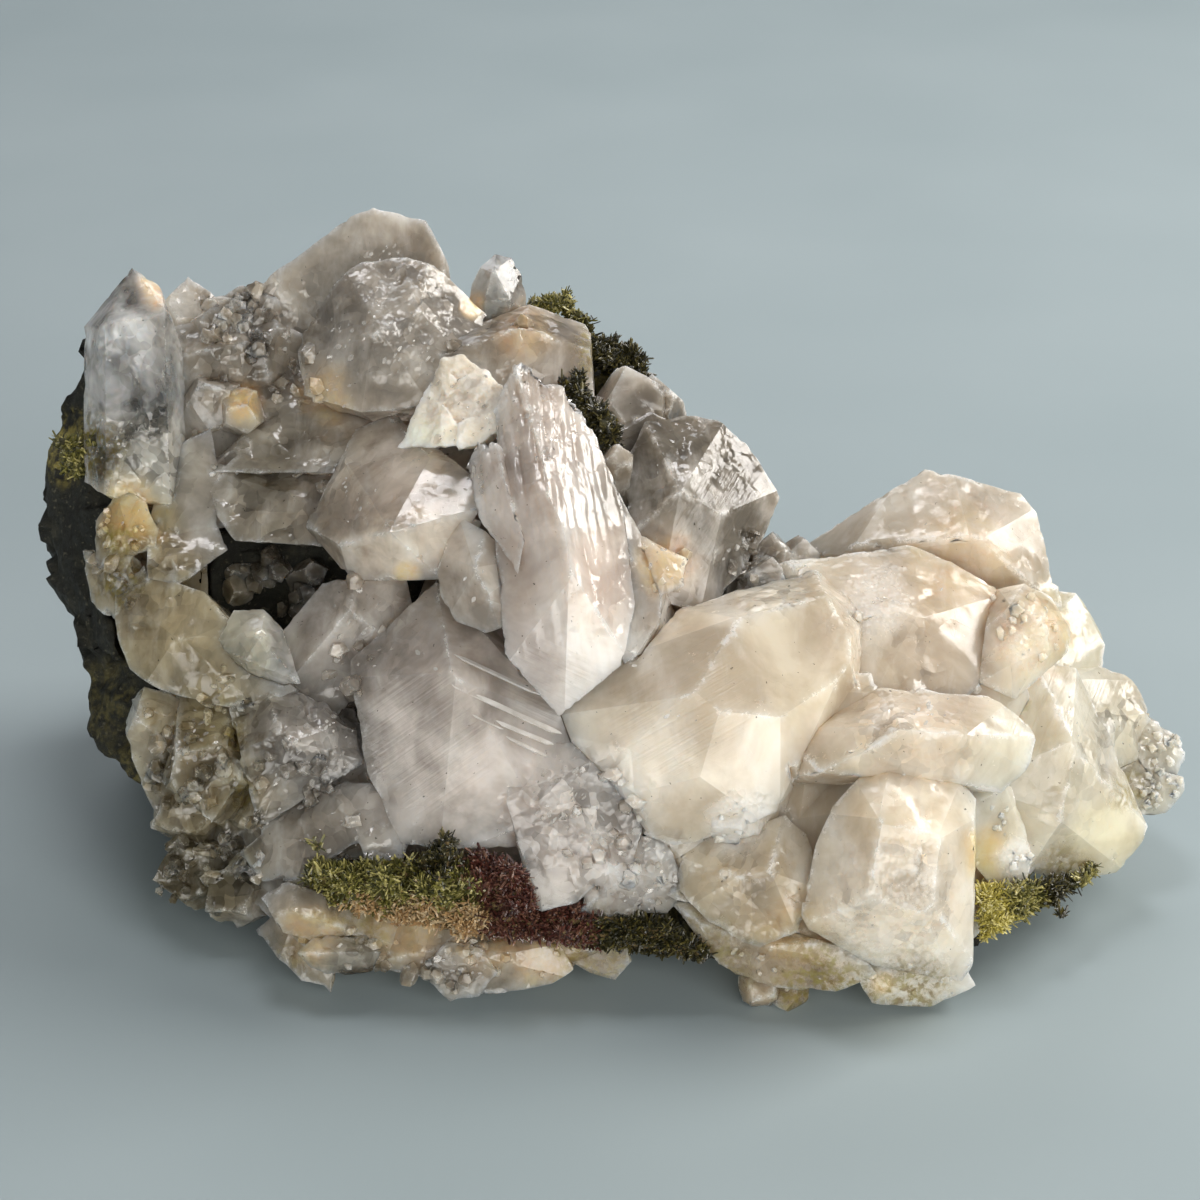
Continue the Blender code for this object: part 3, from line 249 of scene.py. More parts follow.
def growth_plates(thing, draw, count):
    """Low plates, each with a slightly tilted top, that crystals grow on their flat faces."""
    mesh = bmesh.new()
    mesh.from_mesh(thing.data)
    bmesh.ops.dissolve_limit(mesh, angle_limit=math.radians(2), verts=mesh.verts, edges=mesh.edges)
    pieces = []
    for loops in mesh.calc_loop_triangles():
        a, b, c = (loop.vert.co for loop in loops)
        area = (b - a).cross(c - a).length / 2
        if area > 0.5:
            pieces.append((area * (1.2 + loops[0].face.normal.dot(-BACK)), loops[0].face, a, b, c))
    weights = [max(piece[0], 0.0) for piece in pieces]
    plates = []
    for _ in range(count * 5):
        _, face, a, b, c = draw.choices(pieces, weights)[0]
        along, across = draw.random(), draw.random()
        if along + across > 1:
            along, across = 1 - along, 1 - across
        spot = a + (b - a) * along + (c - a) * across
        room = 99.0
        for edge in face.edges:
            p, q = edge.verts[0].co, edge.verts[1].co
            t = max(0.0, min(1.0, (spot - p).dot(q - p) / max((q - p).length_squared, 1e-9)))
            room = min(room, (spot - (p + (q - p) * t)).length)
        if room < 1.6:
            continue
        longest = max(face.edges, key=lambda e: e.calc_length())
        way = (longest.verts[1].co - longest.verts[0].co).normalized()
        side = face.normal.cross(way)
        reach = min(room * 1.1, draw.uniform(2.0, 6.0))
        width = reach * draw.uniform(0.35, 0.9)
        height = draw.uniform(0.06, 0.16)
        tilt = Vector((draw.uniform(-1, 1), draw.uniform(-1, 1))) * 0.05
        points = []
        for k in range(7):
            angle = math.tau * (k + draw.uniform(-0.3, 0.3)) / 7
            outward = way * math.cos(angle) * reach + side * math.sin(angle) * width
            step = outward.normalized()
            points.append(spot + outward + step * 0.8 - face.normal * 0.3)
            top = max(height + outward.dot(way) * tilt.x + outward.dot(side) * tilt.y, 0.03)
            points.append(spot + outward - step * top * 2.6 + face.normal * top)
        plates.append(hull_object("plate", points))
        if len(plates) == count:
            break
    mesh.free()
    return combine(thing, plates, "UNION")


def chips(thing, draw, count, bite=(0.10, 0.42)):
    """Small scallops broken out of the outer edges."""
    mesh = bmesh.new()
    mesh.from_mesh(thing.data)
    bmesh.ops.dissolve_limit(mesh, angle_limit=math.radians(2), verts=mesh.verts, edges=mesh.edges)
    mesh.normal_update()
    edges = []
    for edge in mesh.edges:
        if len(edge.link_faces) == 2 and edge.is_convex and edge.calc_length() > 1.0:
            if edge.calc_face_angle(0.0) > math.radians(25) and max(v.co.z for v in edge.verts) > 1.0:
                edges.append(edge)
    weights = [edge.calc_length() for edge in edges]
    cutters = []
    for edge in draw.choices(edges, weights, k=count):
        p, q = edge.verts[0].co, edge.verts[1].co
        spot = p.lerp(q, draw.random())
        way = (q - p).normalized()
        out = (edge.link_faces[0].normal + edge.link_faces[1].normal).normalized()
        out = (out + random_direction(draw) * 0.35).normalized()
        out = (out - way * out.dot(way)).normalized()
        side = way.cross(out)
        length = min(draw.uniform(0.5, 2.6), edge.calc_length() * 0.6)
        tall = draw.uniform(0.5, 1.6)
        wide = draw.uniform(0.6, 1.8)
        centre = spot + out * (tall - draw.uniform(*bite))
        points = []
        for _ in range(22):
            x, y, z = random_direction(draw)
            points.append(centre + way * x * length + side * y * wide + out * z * tall)
        cutters.append(hull_object("chip", points))
    mesh.free()
    return combine(thing, cutters, "DIFFERENCE")


def fine_skin(thing, front_length, back_length):
    """Splits the faces finely, keeps the edges between flat faces sharp, and gives each flat face a tone."""
    mesh = bmesh.new()
    mesh.from_mesh(thing.data)
    bmesh.ops.remove_doubles(mesh, verts=mesh.verts, dist=0.002)
    bmesh.ops.dissolve_limit(mesh, angle_limit=math.radians(0.6), verts=mesh.verts, edges=mesh.edges)
    mesh.normal_update()
    tone = mesh.faces.layers.float.new("tone")
    for face in mesh.faces:
        n = face.normal
        key = Vector((round(n.x * 9), round(n.y * 9), round(n.z * 9)))
        face[tone] = noise.noise(key * 0.83 + Vector((3.1, 7.7, 1.9)))
    bmesh.ops.triangulate(mesh, faces=mesh.faces)
    mesh.normal_update()
    for edge in mesh.edges:
        sharp = len(edge.link_faces) == 2 and edge.calc_face_angle(0.0) > SHARP_ANGLE
        edge.smooth = not sharp
    view = -BACK + UP * 0.4
    for _ in range(7):
        long_edges = []
        for edge in mesh.edges:
            length = edge.calc_length()
            if length > front_length:
                seen = length > back_length or any(face.normal.dot(view) > -0.05 for face in edge.link_faces)
                if seen:
                    long_edges.append(edge)
        if len(long_edges) < 0.015 * len(mesh.edges):
            break
        bmesh.ops.subdivide_edges(mesh, edges=long_edges, cuts=1)
        bmesh.ops.triangulate(mesh, faces=[face for face in mesh.faces if len(face.verts) > 3])
    mesh.to_mesh(thing.data)
    mesh.free()


# ---- shaping the skin


def skin_points(thing):
    """Vertex places and outward normals as arrays, in millimetres."""
    count = len(thing.data.vertices)
    points = np.empty(count * 3)
    normals = np.empty(count * 3)
    thing.data.vertices.foreach_get("co", points)
    thing.data.vertices.foreach_get("normal", normals)
    return points.reshape(-1, 3), normals.reshape(-1, 3)


def set_points(thing, points):
    """Moves the skin, and keeps it inside the box of the solids."""
    points = np.clip(points, np.array(solid_box[0]) / MM, np.array(solid_box[1]) / MM)
    thing.data.vertices.foreach_set("co", points.ravel())
    thing.data.update()


def edge_distance(thing, points):
    """Distance of each point from the nearest sharp outer edge."""
    mesh = bmesh.new()
    mesh.from_mesh(thing.data)
    rims = set()
    for edge in mesh.edges:
        if not edge.smooth and edge.is_convex and edge.calc_face_angle(0.0) > RIM_ANGLE:
            rims.update(edge.verts)
    tree = KDTree(max(len(rims), 1))
    for number, vert in enumerate(rims):
        tree.insert(vert.co, number)
    tree.balance()
    mesh.free()
    return np.array([tree.find(p)[2] for p in points])


def waves(points, size, seed=0.0):
    """Smooth noise from -1 to 1 with features of that size."""
    shifted = points / size + seed
    return np.array([noise.noise(p) for p in shifted])


def rough(points, size, seed=0.0, octaves=4):
    shifted = points / size + seed
    return np.array([noise.fractal(p, 0.9, 2.1, octaves) for p in shifted])


def broken_relief(points, size, seed):
    """Height in millimetres of small flat faces, each tilted its own way, as broken quartz has them."""
    heights = np.empty(len(points))
    for n, point in enumerate(points / size + seed):
        centre = noise.voronoi(point)[1][0]
        heights[n] = (Vector(point) - centre).dot(noise.noise_vector(centre * 7.3))
    return heights * size


def smooth_step(x):
    x = np.clip(x, 0.0, 1.0)
    return x * x * (3 - 2 * x)


def spot_mask(points, spots, ragged=0.35):
    """How strongly each point lies in one of the spots, given as (across, up, radius, strength) in the picture."""
    across, up, depth = to_picture(points)
    wobble = waves(points, 2.2, 31.0) * ragged
    mask = np.zeros(len(points))
    for x, y, radius, strength in spots:
        away = np.hypot(across - x, up - y) / radius + wobble
        mask = np.maximum(mask, strength * smooth_step(1.6 - 1.2 * away))
    return mask


def set_attribute(thing, name, values):
    attribute = thing.data.attributes.new(name, "FLOAT", "POINT")
    attribute.data.foreach_set("value", values.astype(np.float32))


def set_tints(thing, points):
    """Each crystal's tint, blended where they meet: partly its own colour and partly painted light and shade."""
    across, up, depth = to_picture(points)
    wobble = waves(points, 4.0, 12.0) * 0.8
    total = np.full(len(points), 0.15)
    tint = np.full((len(points), 3), 0.15)
    for x, y, radius, colour in TINTS_AND_PAINTED_LIGHT:
        away = np.hypot(across - x, up - y) + wobble
        weight = smooth_step(1.35 - 0.8 * away / radius)
        tint += weight[:, None] * np.array(colour)
        total += weight
    values = np.ones((len(points), 4), dtype=np.float32)
    values[:, :3] = tint / total[:, None]
    layer = thing.data.color_attributes.new("tint", "FLOAT_COLOR", "POINT")
    layer.data.foreach_set("color", values.ravel())


# ---- materials


class Look:
    """A procedural material, built up on the Principled shader."""

    def __init__(self, name, **constants):
        self.material = bpy.data.materials.new(name)
        self.material.use_nodes = True
        self.tree = self.material.node_tree
        self.shader = self.tree.nodes["Principled BSDF"]
        self.space = self.tree.nodes.new("ShaderNodeTexCoord").outputs["Object"]
        for socket, value in constants.items():
            self.shader.inputs[socket.replace("_", " ")].default_value = value

    def node(self, kind, inputs=(), **settings):
        made = self.tree.nodes.new(kind)
        for name, value in settings.items():
            setattr(made, name, value)
        for socket, value in dict(inputs).items():
            self.feed(made.inputs[socket], value)
        return made

    def feed(self, socket, value):
        if isinstance(value, bpy.types.NodeSocket):
            self.tree.links.new(value, socket)
        elif hasattr(value, "__len__") and len(value) == 3 and socket.type == "RGBA":
            socket.default_value = (*value, 1.0)
        else:
            socket.default_value = value

    def noise(self, size, detail=4.0, roughness=0.55, distortion=0.0, stretch=None):
        """Noise from 0 to 1 with features of that size in millimetres."""
        space = self.space
        if stretch:
            space = self.node("ShaderNodeMapping", {"Vector": space, "Scale": stretch[0], "Rotation": stretch[1]})
            space = space.outputs["Vector"]
        inputs = {"Vector": space, "Scale": 1000.0 / size, "Detail": detail, "Roughness": roughness}
        inputs["Distortion"] = distortion
        return self.node("ShaderNodeTexNoise", inputs).outputs["Fac"]

    def cells(self, size, output="Distance", feature="F1"):
        inputs = {"Vector": self.space, "Scale": 1000.0 / size}
        return self.node("ShaderNodeTexVoronoi", inputs, feature=feature).outputs[output]

    def attribute(self, name):
        return self.node("ShaderNodeAttribute", attribute_name=name).outputs["Fac"]

    def tint(self, name):
        return self.node("ShaderNodeAttribute", attribute_name=name).outputs["Color"]

    def ramp(self, factor, *stops):
        """Colour or value stops as (position, value)."""
        made = self.node("ShaderNodeValToRGB", {"Fac": factor})
        ramp = made.color_ramp
        while len(ramp.elements) < len(stops):
            ramp.elements.new(0.5)
        for element, (position, value) in zip(ramp.elements, stops):
            element.position = position
            element.color = (*value, 1.0) if hasattr(value, "__len__") else (value, value, value, 1.0)
        return made.outputs["Color"]

    def mix(self, factor, first, second, blend="MIX"):
        made = self.node("ShaderNodeMix", data_type="RGBA", blend_type=blend)
        self.feed(made.inputs["Factor"], factor)
        self.feed(made.inputs["A"], first)
        self.feed(made.inputs["B"], second)
        return made.outputs["Result"]

    def sum(self, operation, first, second, clamp=False):
        made = self.node("ShaderNodeMath", {0: first, 1: second}, operation=operation, use_clamp=clamp)
        return made.outputs[0]

    def bump(self, height, distance, strength=1.0, normal=None):
        """Fine relief, with its depth in millimetres."""
        inputs = {"Height": height, "Distance": distance * MM, "Strength": strength}
        if normal:
            inputs["Normal"] = normal
        return self.node("ShaderNodeBump", inputs).outputs["Normal"]

    def set(self, socket, value):
        self.feed(self.shader.inputs[socket], value)

    def absorb(self, colour, density):
        """Plain absorption inside a see-through solid."""
        volume = self.node("ShaderNodeVolumeAbsorption", {"Color": colour, "Density": density})
        output = self.tree.nodes["Material Output"]
        self.tree.links.new(volume.outputs["Volume"], output.inputs["Volume"])
        return self


def stained(look, colour):
    """The colour of quartz with its iron stain, olive dust and white frost, from the skin's masks."""
    grain = look.noise(0.7, 5.0, 0.7)
    iron = look.sum("MULTIPLY", look.attribute("iron"), look.ramp(grain, (0.30, 0.35), (0.62, 1.0)))
    iron_colour = look.ramp(look.noise(2.4), (0.35, (0.80, 0.60, 0.26)), (0.65, (0.70, 0.38, 0.15)))
    colour = look.mix(look.sum("MULTIPLY", iron, 0.9), colour, iron_colour)
    dust = look.sum("MULTIPLY", look.attribute("olive"), look.ramp(grain, (0.42, 0.0), (0.56, 1.0)))
    olive_colour = look.ramp(look.noise(1.1), (0.35, (0.20, 0.13, 0.025)), (0.65, (0.32, 0.27, 0.06)))
    colour = look.mix(dust, colour, olive_colour)
    yellow = look.attribute("yellow")
    colour = look.mix(yellow, colour, look.mix(1.0, colour, (0.97, 0.92, 0.70), "MULTIPLY"))
    return look.mix(look.attribute("frost"), colour, (0.90, 0.86, 0.80)), dust


def broken_faces(look, size):
    """A tone for each of many small flat faces, and their tilted relief in metres."""
    warped = look.node("ShaderNodeTexNoise", {"Vector": look.space, "Scale": 400.0, "Detail": 2.0})
    shift = look.node("ShaderNodeVectorMath", {0: warped.outputs["Color"], 1: (0.0016,) * 3}, operation="MULTIPLY")
    space = look.node("ShaderNodeVectorMath", {0: look.space, 1: shift.outputs[0]}, operation="ADD").outputs[0]
    cells = look.node("ShaderNodeTexVoronoi", {"Vector": space, "Scale": 1000.0 / size})
    away = look.node("ShaderNodeVectorMath", {0: space, 1: cells.outputs["Position"]}, operation="SUBTRACT")
    tilt = look.node("ShaderNodeVectorMath", {0: cells.outputs["Color"], 1: (0.5,) * 3}, operation="SUBTRACT")
    height = look.node("ShaderNodeVectorMath", {0: away.outputs[0], 1: tilt.outputs[0]}, operation="DOT_PRODUCT")
    return cells.outputs["Color"], height.outputs["Value"]


def quartz(name, colours, transmission, absorption, density, roughness=(0.04, 0.18), depth=3.0, relief=0.016):
    look = Look(
        name,
        IOR=QUARTZ_IOR,
        Subsurface_Weight=1.0,
        Subsurface_Radius=(1.0, 0.88, 0.76),
        Subsurface_Scale=depth * MM,
    )
    cloud = look.noise(7.0, 4.0, 0.58, 0.4)
    clear = min(transmission * 1.7, 0.96)
    broken = look.sum("MULTIPLY", look.attribute("broken"), look.ramp(look.noise(4.0, 3.0), (0.36, 0.25), (0.60, 1.0)))
    tones, heights = broken_faces(look, 3.4)
    small_tones, small_heights = broken_faces(look, 1.3)
    tone = look.mix(0.5, tones, small_tones)
    milk = look.mix(look.sum("MULTIPLY", broken, 0.5), cloud, tone)
    see_through = look.ramp(milk, (0.38, clear), (0.62, transmission * 0.5))
    coated = look.sum("MAXIMUM", look.attribute("iron"), look.attribute("frost"))
    look.set("Transmission Weight", look.mix(coated, see_through, (0.0, 0.0, 0.0)))
    colour = look.ramp(cloud, *zip((0.33, 0.5, 0.67), colours))
    shades = look.ramp(tone, (0.25, 0.42), (0.52, 0.80), (0.74, 1.12))
    colour = look.mix(broken, colour, look.mix(1.0, colour, shades, "MULTIPLY"))
    face = look.sum("MULTIPLY_ADD", look.attribute("tone"), 0.5)
    colour = look.mix(0.55, colour, look.ramp(face, (0.25, 0.60), (0.75, 1.0)), "MULTIPLY")
    # The tint is partly the crystals' own colour and partly painted light and shade.
    colour = look.mix(1.0, colour, look.tint("tint"), "MULTIPLY")
    streaks = look.noise(3.0, 5.0, 0.6, 0.3, ((1.0, 0.22, 0.5), (0.4, 0.5, 0.9)))
    colour = look.mix(look.ramp(streaks, (0.52, 0.0), (0.74, 0.45)), colour, (0.90, 0.87, 0.82))
    # Paler band along the sharp outer edges, broken by noise: partly worn, chipped edges and partly a painted highlight
    # along the edges.
    edge_wear_and_highlight = look.ramp(look.noise(2.2, 6.0, 0.75), (0.46, 0.0), (0.62, 0.9))
    rim = look.sum("MULTIPLY", look.attribute("rim"), edge_wear_and_highlight)
    colour = look.mix(rim, colour, (0.90, 0.87, 0.82))
    speck = look.ramp(look.noise(0.5, 2.0), (0.735, 0.0), (0.755, 0.8))
    colour = look.mix(speck, colour, (0.05, 0.045, 0.03))
    colour, dust = stained(look, colour)
    look.set("Base Color", colour)
    frost = look.attribute("frost")
    base = look.ramp(look.noise(4.0, 6.0, 0.7), (0.38, roughness[0]), (0.66, roughness[1]))
    rougher = look.mix(look.sum("MAXIMUM", frost, rim), base, (0.42, 0.42, 0.42))
    look.set("Roughness", look.mix(dust, rougher, (0.65, 0.65, 0.65)))
    normal = look.bump(look.noise(1.3, 8.0, 0.72, 0.4), relief)
    inputs = {"W": look.attribute("striae"), "Scale": 3.2, "Detail": 5.0}
    striae = look.node("ShaderNodeTexNoise", inputs, noise_dimensions="1D")
    lines = look.sum("MULTIPLY", striae.outputs["Fac"], look.attribute("striated"))
    normal = look.bump(lines, 0.09, 1.0, normal)
    fractured = look.sum("MULTIPLY", look.sum("ADD", heights, small_heights), broken)
    normal = look.bump(fractured, 450.0, 1.0, normal)
    sugar = look.sum("MULTIPLY", frost, look.cells(0.6))
    look.set("Normal", look.bump(sugar, 0.30, 1.0, normal))
    look.absorb(absorption, density)
    return look.material


# ---- pieces


def finish_piece(thing, name, node_names, material, smooth=True):
    """Puts a shaped skin in metres and on the body."""
    thing.name = name
    thing.data.name = name
    thing.data.transform(Matrix.Scale(MM, 4))
    thing.data.materials.clear()
    thing.data.materials.append(material)
    thing.data.polygons.foreach_set("use_smooth", [smooth] * len(thing.data.polygons))
    thing.data.update()
    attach(thing, "root")
    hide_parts(*node_names)
    return thing


IRON = [
    (-14.5, 19.5, 2.6, 0.35), (-12.6, 29.6, 1.2, 0.9), (-44.3, 31.6, 2.2, 0.8), (-35.5, 19.6, 2.0, 0.95),
    (-27.6, 20.6, 2.8, 0.55), (-47.0, 8.6, 3.6, 0.75), (6.6, 3.6, 3.0, 0.6), (-19.2, 2.8, 1.3, 0.8),
    (36.0, 3.4, 6.0, 0.34), (43.4, -3.6, 4.4, 0.6), (38.6, -25.0, 2.6, 0.5), (28.2, -38.2, 1.3, 0.9),
    (-20.0, -32.0, 4.0, 0.6), (-11.0, -34.0, 4.0, 0.55), (-5.0, -36.5, 4.0, 0.5), (-29.0, -33.5, 3.0, 0.5),
    (20.0, -33.0, 4.0, 0.4), (-8.0, 27.0, 3.0, 0.4),
]
OLIVE = [
    (-50.4, 15.2, 3.4, 1.0), (-48.4, 5.8, 1.9, 1.0), (-47.8, 1.6, 2.4, 0.95), (-36.6, -13.8, 1.3, 0.9),
    (-35.6, -19.4, 1.6, 0.9), (-1.0, 25.0, 2.4, 0.8), (-3.0, -34.0, 2.4, 0.8), (53.0, -19.0, 2.2, 0.7),
    (46.0, -27.6, 3.0, 0.7), (23.0, -39.4, 6.0, 0.9), (31.0, -38.6, 4.0, 0.8), (-31.5, -36.0, 2.6, 0.5), (0.0, -35.5, 5.0, 0.7),
    (11.0, -36.5, 5.0, 0.6), (-24.0, -31.5, 3.0, 0.6),
]
YELLOW = [
    (-40.5, -4.5, 8.5, 0.6), (-46.5, 8.0, 4.5, 0.8), (-39.0, -12.0, 3.6, 0.9), (-38.0, -19.0, 6.0, 0.45),
    (-42.0, -28.0, 7.0, 0.55), (38.8, -25.5, 2.8, 0.95), (50.5, -24.5, 4.0, 0.5), (22.0, -5.0, 8.0, 0.25),
]
FROST = [
    (-19.5, 27.5, 7.0, 0.16), (-26.0, -15.0, 5.5, 0.1), (25.6, -2.0, 4.0, 0.2),
    (28.0, 0.0, 3.4, 0.45), (13.6, -22.2, 3.2, 0.7), (28.5, -30.5, 7.5, 0.3), (41.4, -25.6, 2.0, 0.7),
    (-14.0, -37.2, 3.4, 0.2), (-14.0, 19.5, 4.5, 0.5), (42.6, -3.8, 3.4, 0.3), (-2.0, -21.0, 5.0, 0.28), (3.0, -27.0, 4.0, 0.25),
]


# Where the faces are shattered into small ones.
BROKEN = [
    (-46, 14, 6, 0.7), (-46, 25, 5, 0.35), (-34, 26, 8, 0.9), (-20, 28, 7, 0.8), (-31, 12, 8, 0.7), (-46, 3, 6, 0.9),
    (-38, -17, 9, 0.9), (-42, -3, 5, 0.3), (-40, -26, 10, 0.8), (-28, -23, 8, 0.6), (-29, -15, 7, 0.9),
    (-2, -22, 7, 0.9), (4, -28, 6, 0.8), (-14, -36, 9, 0.5), (-28, -36, 6, 0.5), (29, -31, 8, 0.7), (14, -28, 7, 0.5),
    (31, -13, 7, 0.55), (28, 0, 7, 0.35), (53, -14, 6, 0.7), (46, -19, 6, 0.3), (9, 13, 7, 0.5), (5, 1, 5, 0.4),
    (-22, 10, 8, 0.22), (-8, 26, 6, 0.5), (-23, -3, 6, 0.4), (44, 0, 5, 0.5), (16, 3, 5, 0.7), (18, -38, 8, 0.5),
    (-6, 16, 6, 0.3), (34, 8, 8, 0.2), (-35, -5, 4, 0.3), (-14, 19, 5, 0.9),
]


# Tints of the crystals, as (across, up, radius, colour) in the picture: partly each crystal's own colour and partly
# painted light and shade, with some crystals made lighter or darker to stand for how brightly they are lit.
TINTS_AND_PAINTED_LIGHT = [
    (-26, 36, 5, (0.74, 0.72, 0.68)), (-21, 28, 7, (0.36, 0.34, 0.30)), (-9, 25, 6, (0.50, 0.46, 0.41)),
    (9, 11, 8, (0.26, 0.24, 0.20)), (4, 2, 5, (1.15, 1.06, 1.0)), (-21, 10, 7, (1.26, 1.16, 1.08)),
    (-12, 2, 4, (0.84, 0.77, 0.71)), (-16, -12, 9, (0.94, 0.91, 0.92)), (-30, 11, 7, (0.42, 0.40, 0.33)),
    (-35, 26, 6, (0.62, 0.58, 0.51)), (-41, -5, 7, (0.52, 0.48, 0.37)), (-29, -14, 5, (0.42, 0.42, 0.41)),
    (-25, -12.5, 2.6, (0.30, 0.31, 0.32)), (-28, -24, 5, (0.54, 0.52, 0.48)), (-41, -17, 6, (0.62, 0.56, 0.40)),
    (-41, -26, 6, (0.28, 0.26, 0.18)), (-3, -22, 8, (1.22, 1.17, 1.20)), (-25, -4, 5, (0.74, 0.72, 0.71)),
    (10, -14, 10, (0.97, 0.93, 0.89)), (31, -4, 8, (0.82, 0.76, 0.72)), (34, 7, 8, (0.76, 0.74, 0.73)),
    (48, -2, 4, (0.66, 0.68, 0.62)), (47, -18, 8, (0.92, 0.94, 0.90)), (54, -14, 5, (0.70, 0.71, 0.67)),
    (28, -26, 8, (1.0, 0.95, 0.88)), (14, -28, 6, (0.58, 0.52, 0.42)), (21, -19, 3.4, (0.50, 0.43, 0.36)),
    (18, -36, 5, (0.52, 0.45, 0.37)), (31, -13, 5, (0.96, 0.90, 0.85)), (-34, -5, 3.4, (1.15, 1.15, 1.14)), (-14, 19.5, 4, (1.08, 1.0, 0.86)),
    (-14, -36, 8, (0.56, 0.51, 0.42)), (-25, -34, 6, (0.52, 0.48, 0.38)), (-6, 16, 6, (0.80, 0.76, 0.73)),
    (-4, -36, 7, (0.55, 0.49, 0.40)), (-47, 2, 5, (0.62, 0.55, 0.38)), (-45, 13, 4, (0.80, 0.78, 0.70)),
]

# Fields of fine parallel growth lines: (across, up, radius, angle of the lines in degrees).
STRIAE = [(-17, -14, 8, 35), (-5, -9, 5, -25), (-22, -2, 6, 48), (12, 8, 6, 60), (8, -10, 8, 30), (47, -12, 7, 70)]


def set_masks(thing, points):
    set_attribute(thing, "iron", spot_mask(points, IRON))
    set_attribute(thing, "olive", spot_mask(points, OLIVE))
    set_attribute(thing, "yellow", spot_mask(points, YELLOW))
    set_attribute(thing, "frost", spot_mask(points, FROST))
    set_tints(thing, points)
    across, up, _ = to_picture(points)
    coordinate = np.zeros(len(points))
    strength = np.zeros(len(points))
    for x, y, radius, angle in STRIAE:
        away = np.hypot(across - x, up - y) / radius
        inside = smooth_step(1.8 - 1.6 * away)
        turned = math.radians(angle)
        along = -across * math.sin(turned) + up * math.cos(turned)
        coordinate = np.where(inside > strength, along, coordinate)
        strength = np.maximum(strength, inside)
    set_attribute(thing, "striae", coordinate)
    set_attribute(thing, "striated", strength)


def crystal_skin(thing, front=0.8, back=2.0, waviness=0.05, grain=0.03, swell=0.0):
    """Real faces are never quite flat: they wave a little, and their edges are worn and nicked. The band along the
    sharp edges is painted paler, partly as wear and partly as a painted highlight.
    """
    fine_skin(thing, front, back)
    points, normals = skin_points(thing)
    frost = spot_mask(points, FROST)
    distance = edge_distance(thing, points)
    height = waves(points, 6.0, 3.0) * waviness + swell
    height += rough(points, 1.3, 5.0) * (grain + 0.22 * frost)
    broken = np.maximum(spot_mask(points, BROKEN), 0.03)
    height += broken_relief(points, 3.2, 4.0) * 0.45 * broken
    set_attribute(thing, "broken", broken)
    nicks = np.clip(waves(points, 0.9, 8.0) - 0.1, 0.0, 1.0)
    height -= nicks * 0.35 * smooth_step(1.0 - distance / 0.5)
    set_points(thing, points + normals * height[:, None])
    # Band along the sharp edges that the material paints paler: partly wear and partly a painted highlight.
    set_attribute(thing, "rim", smooth_step(1.15 - distance / 0.42))
    set_masks(thing, points)
    return thing


def prism(foot_spot, point_spot, width, thickness, turn):
    """A hexagonal quartz prism with three major and three minor faces at its point."""
    foot, point = (Vector(v) for v in (foot_spot, point_spot))
    axis = (point - foot).normalized()
    side = axis.cross(BACK).normalized()
    front = side.cross(axis)
    mesh = bmesh.new()
    reach = (point - foot).length * 3 + width * 3
    bmesh.ops.create_cube(mesh, size=reach, matrix=Matrix.Translation((foot + point) / 2))
    planes = [(-axis, -axis.dot(foot))]
    for k in range(6):
        angle = math.radians(60 * k + turn)
        outward = side * math.cos(angle) + front * math.sin(angle)
        half = 0.5 * (width * math.cos(angle) ** 2 + thickness * math.sin(angle) ** 2)
        planes.append((outward, outward.dot(foot) + half))
        slope = (outward * math.cos(POINT_FACE_ANGLE) + axis * math.sin(POINT_FACE_ANGLE)).normalized()
        planes.append((slope, slope.dot(point) + (k % 2) * MINOR_FACE_OFFSET * width))
    for direction, distance in planes:
        geometry = mesh.verts[:] + mesh.edges[:] + mesh.faces[:]
        cut = bmesh.ops.bisect_plane(
            mesh, geom=geometry, dist=1e-4, plane_co=direction * distance, plane_no=direction, clear_outer=True
        )
        rim = [item for item in cut["geom_cut"] if isinstance(item, bmesh.types.BMEdge)]
        if rim:
            bmesh.ops.edgeloop_fill(mesh, edges=rim)
    bmesh.ops.remove_doubles(mesh, verts=mesh.verts, dist=0.004)
    bmesh.ops.recalc_face_normals(mesh, faces=mesh.faces)
    return mesh


def join_meshes(name, meshes):
    """One object of many separate closed meshes."""
    whole = bmesh.new()
    for mesh in meshes:
        data = bpy.data.meshes.new("part")
        mesh.to_mesh(data)
        mesh.free()
        whole.from_mesh(data)
        bpy.data.meshes.remove(data)
    return to_object(name, whole)


def seam_crystals(solid, draw, count, longest):
    """Small points that fill the seams between the large crystals."""
    mesh = bmesh.new()
    mesh.from_mesh(solid.data)
    bmesh.ops.dissolve_limit(mesh, angle_limit=math.radians(2), verts=mesh.verts, edges=mesh.edges)
    mesh.normal_update()
    seams = []
    for edge in mesh.edges:
        if len(edge.link_faces) == 2 and not edge.is_convex and edge.calc_face_angle(0.0) > math.radians(30):
            middle = (edge.verts[0].co + edge.verts[1].co) / 2
            out = (edge.link_faces[0].normal + edge.link_faces[1].normal).normalized()
            if middle.z > 2.0 and edge.calc_length() > 0.6:
                seams.append((edge.calc_length() * (1.3 + out.dot(-BACK)), edge, out))
    made = []
    for _, edge, out in draw.choices(seams, [seam[0] for seam in seams], k=count):
        root = edge.verts[0].co.lerp(edge.verts[1].co, draw.random())
        way = (out + random_direction(draw) * 0.7).normalized()
        length = longest * draw.uniform(0.3, 1.0) ** 1.5
        width = length * draw.uniform(0.35, 0.6)
        foot = root - way * length * 0.45
        made.append(prism(foot, root + way * length * 0.5, width, width * draw.uniform(0.8, 1.0), draw.uniform(0, 60)))
    mesh.free()
    return made


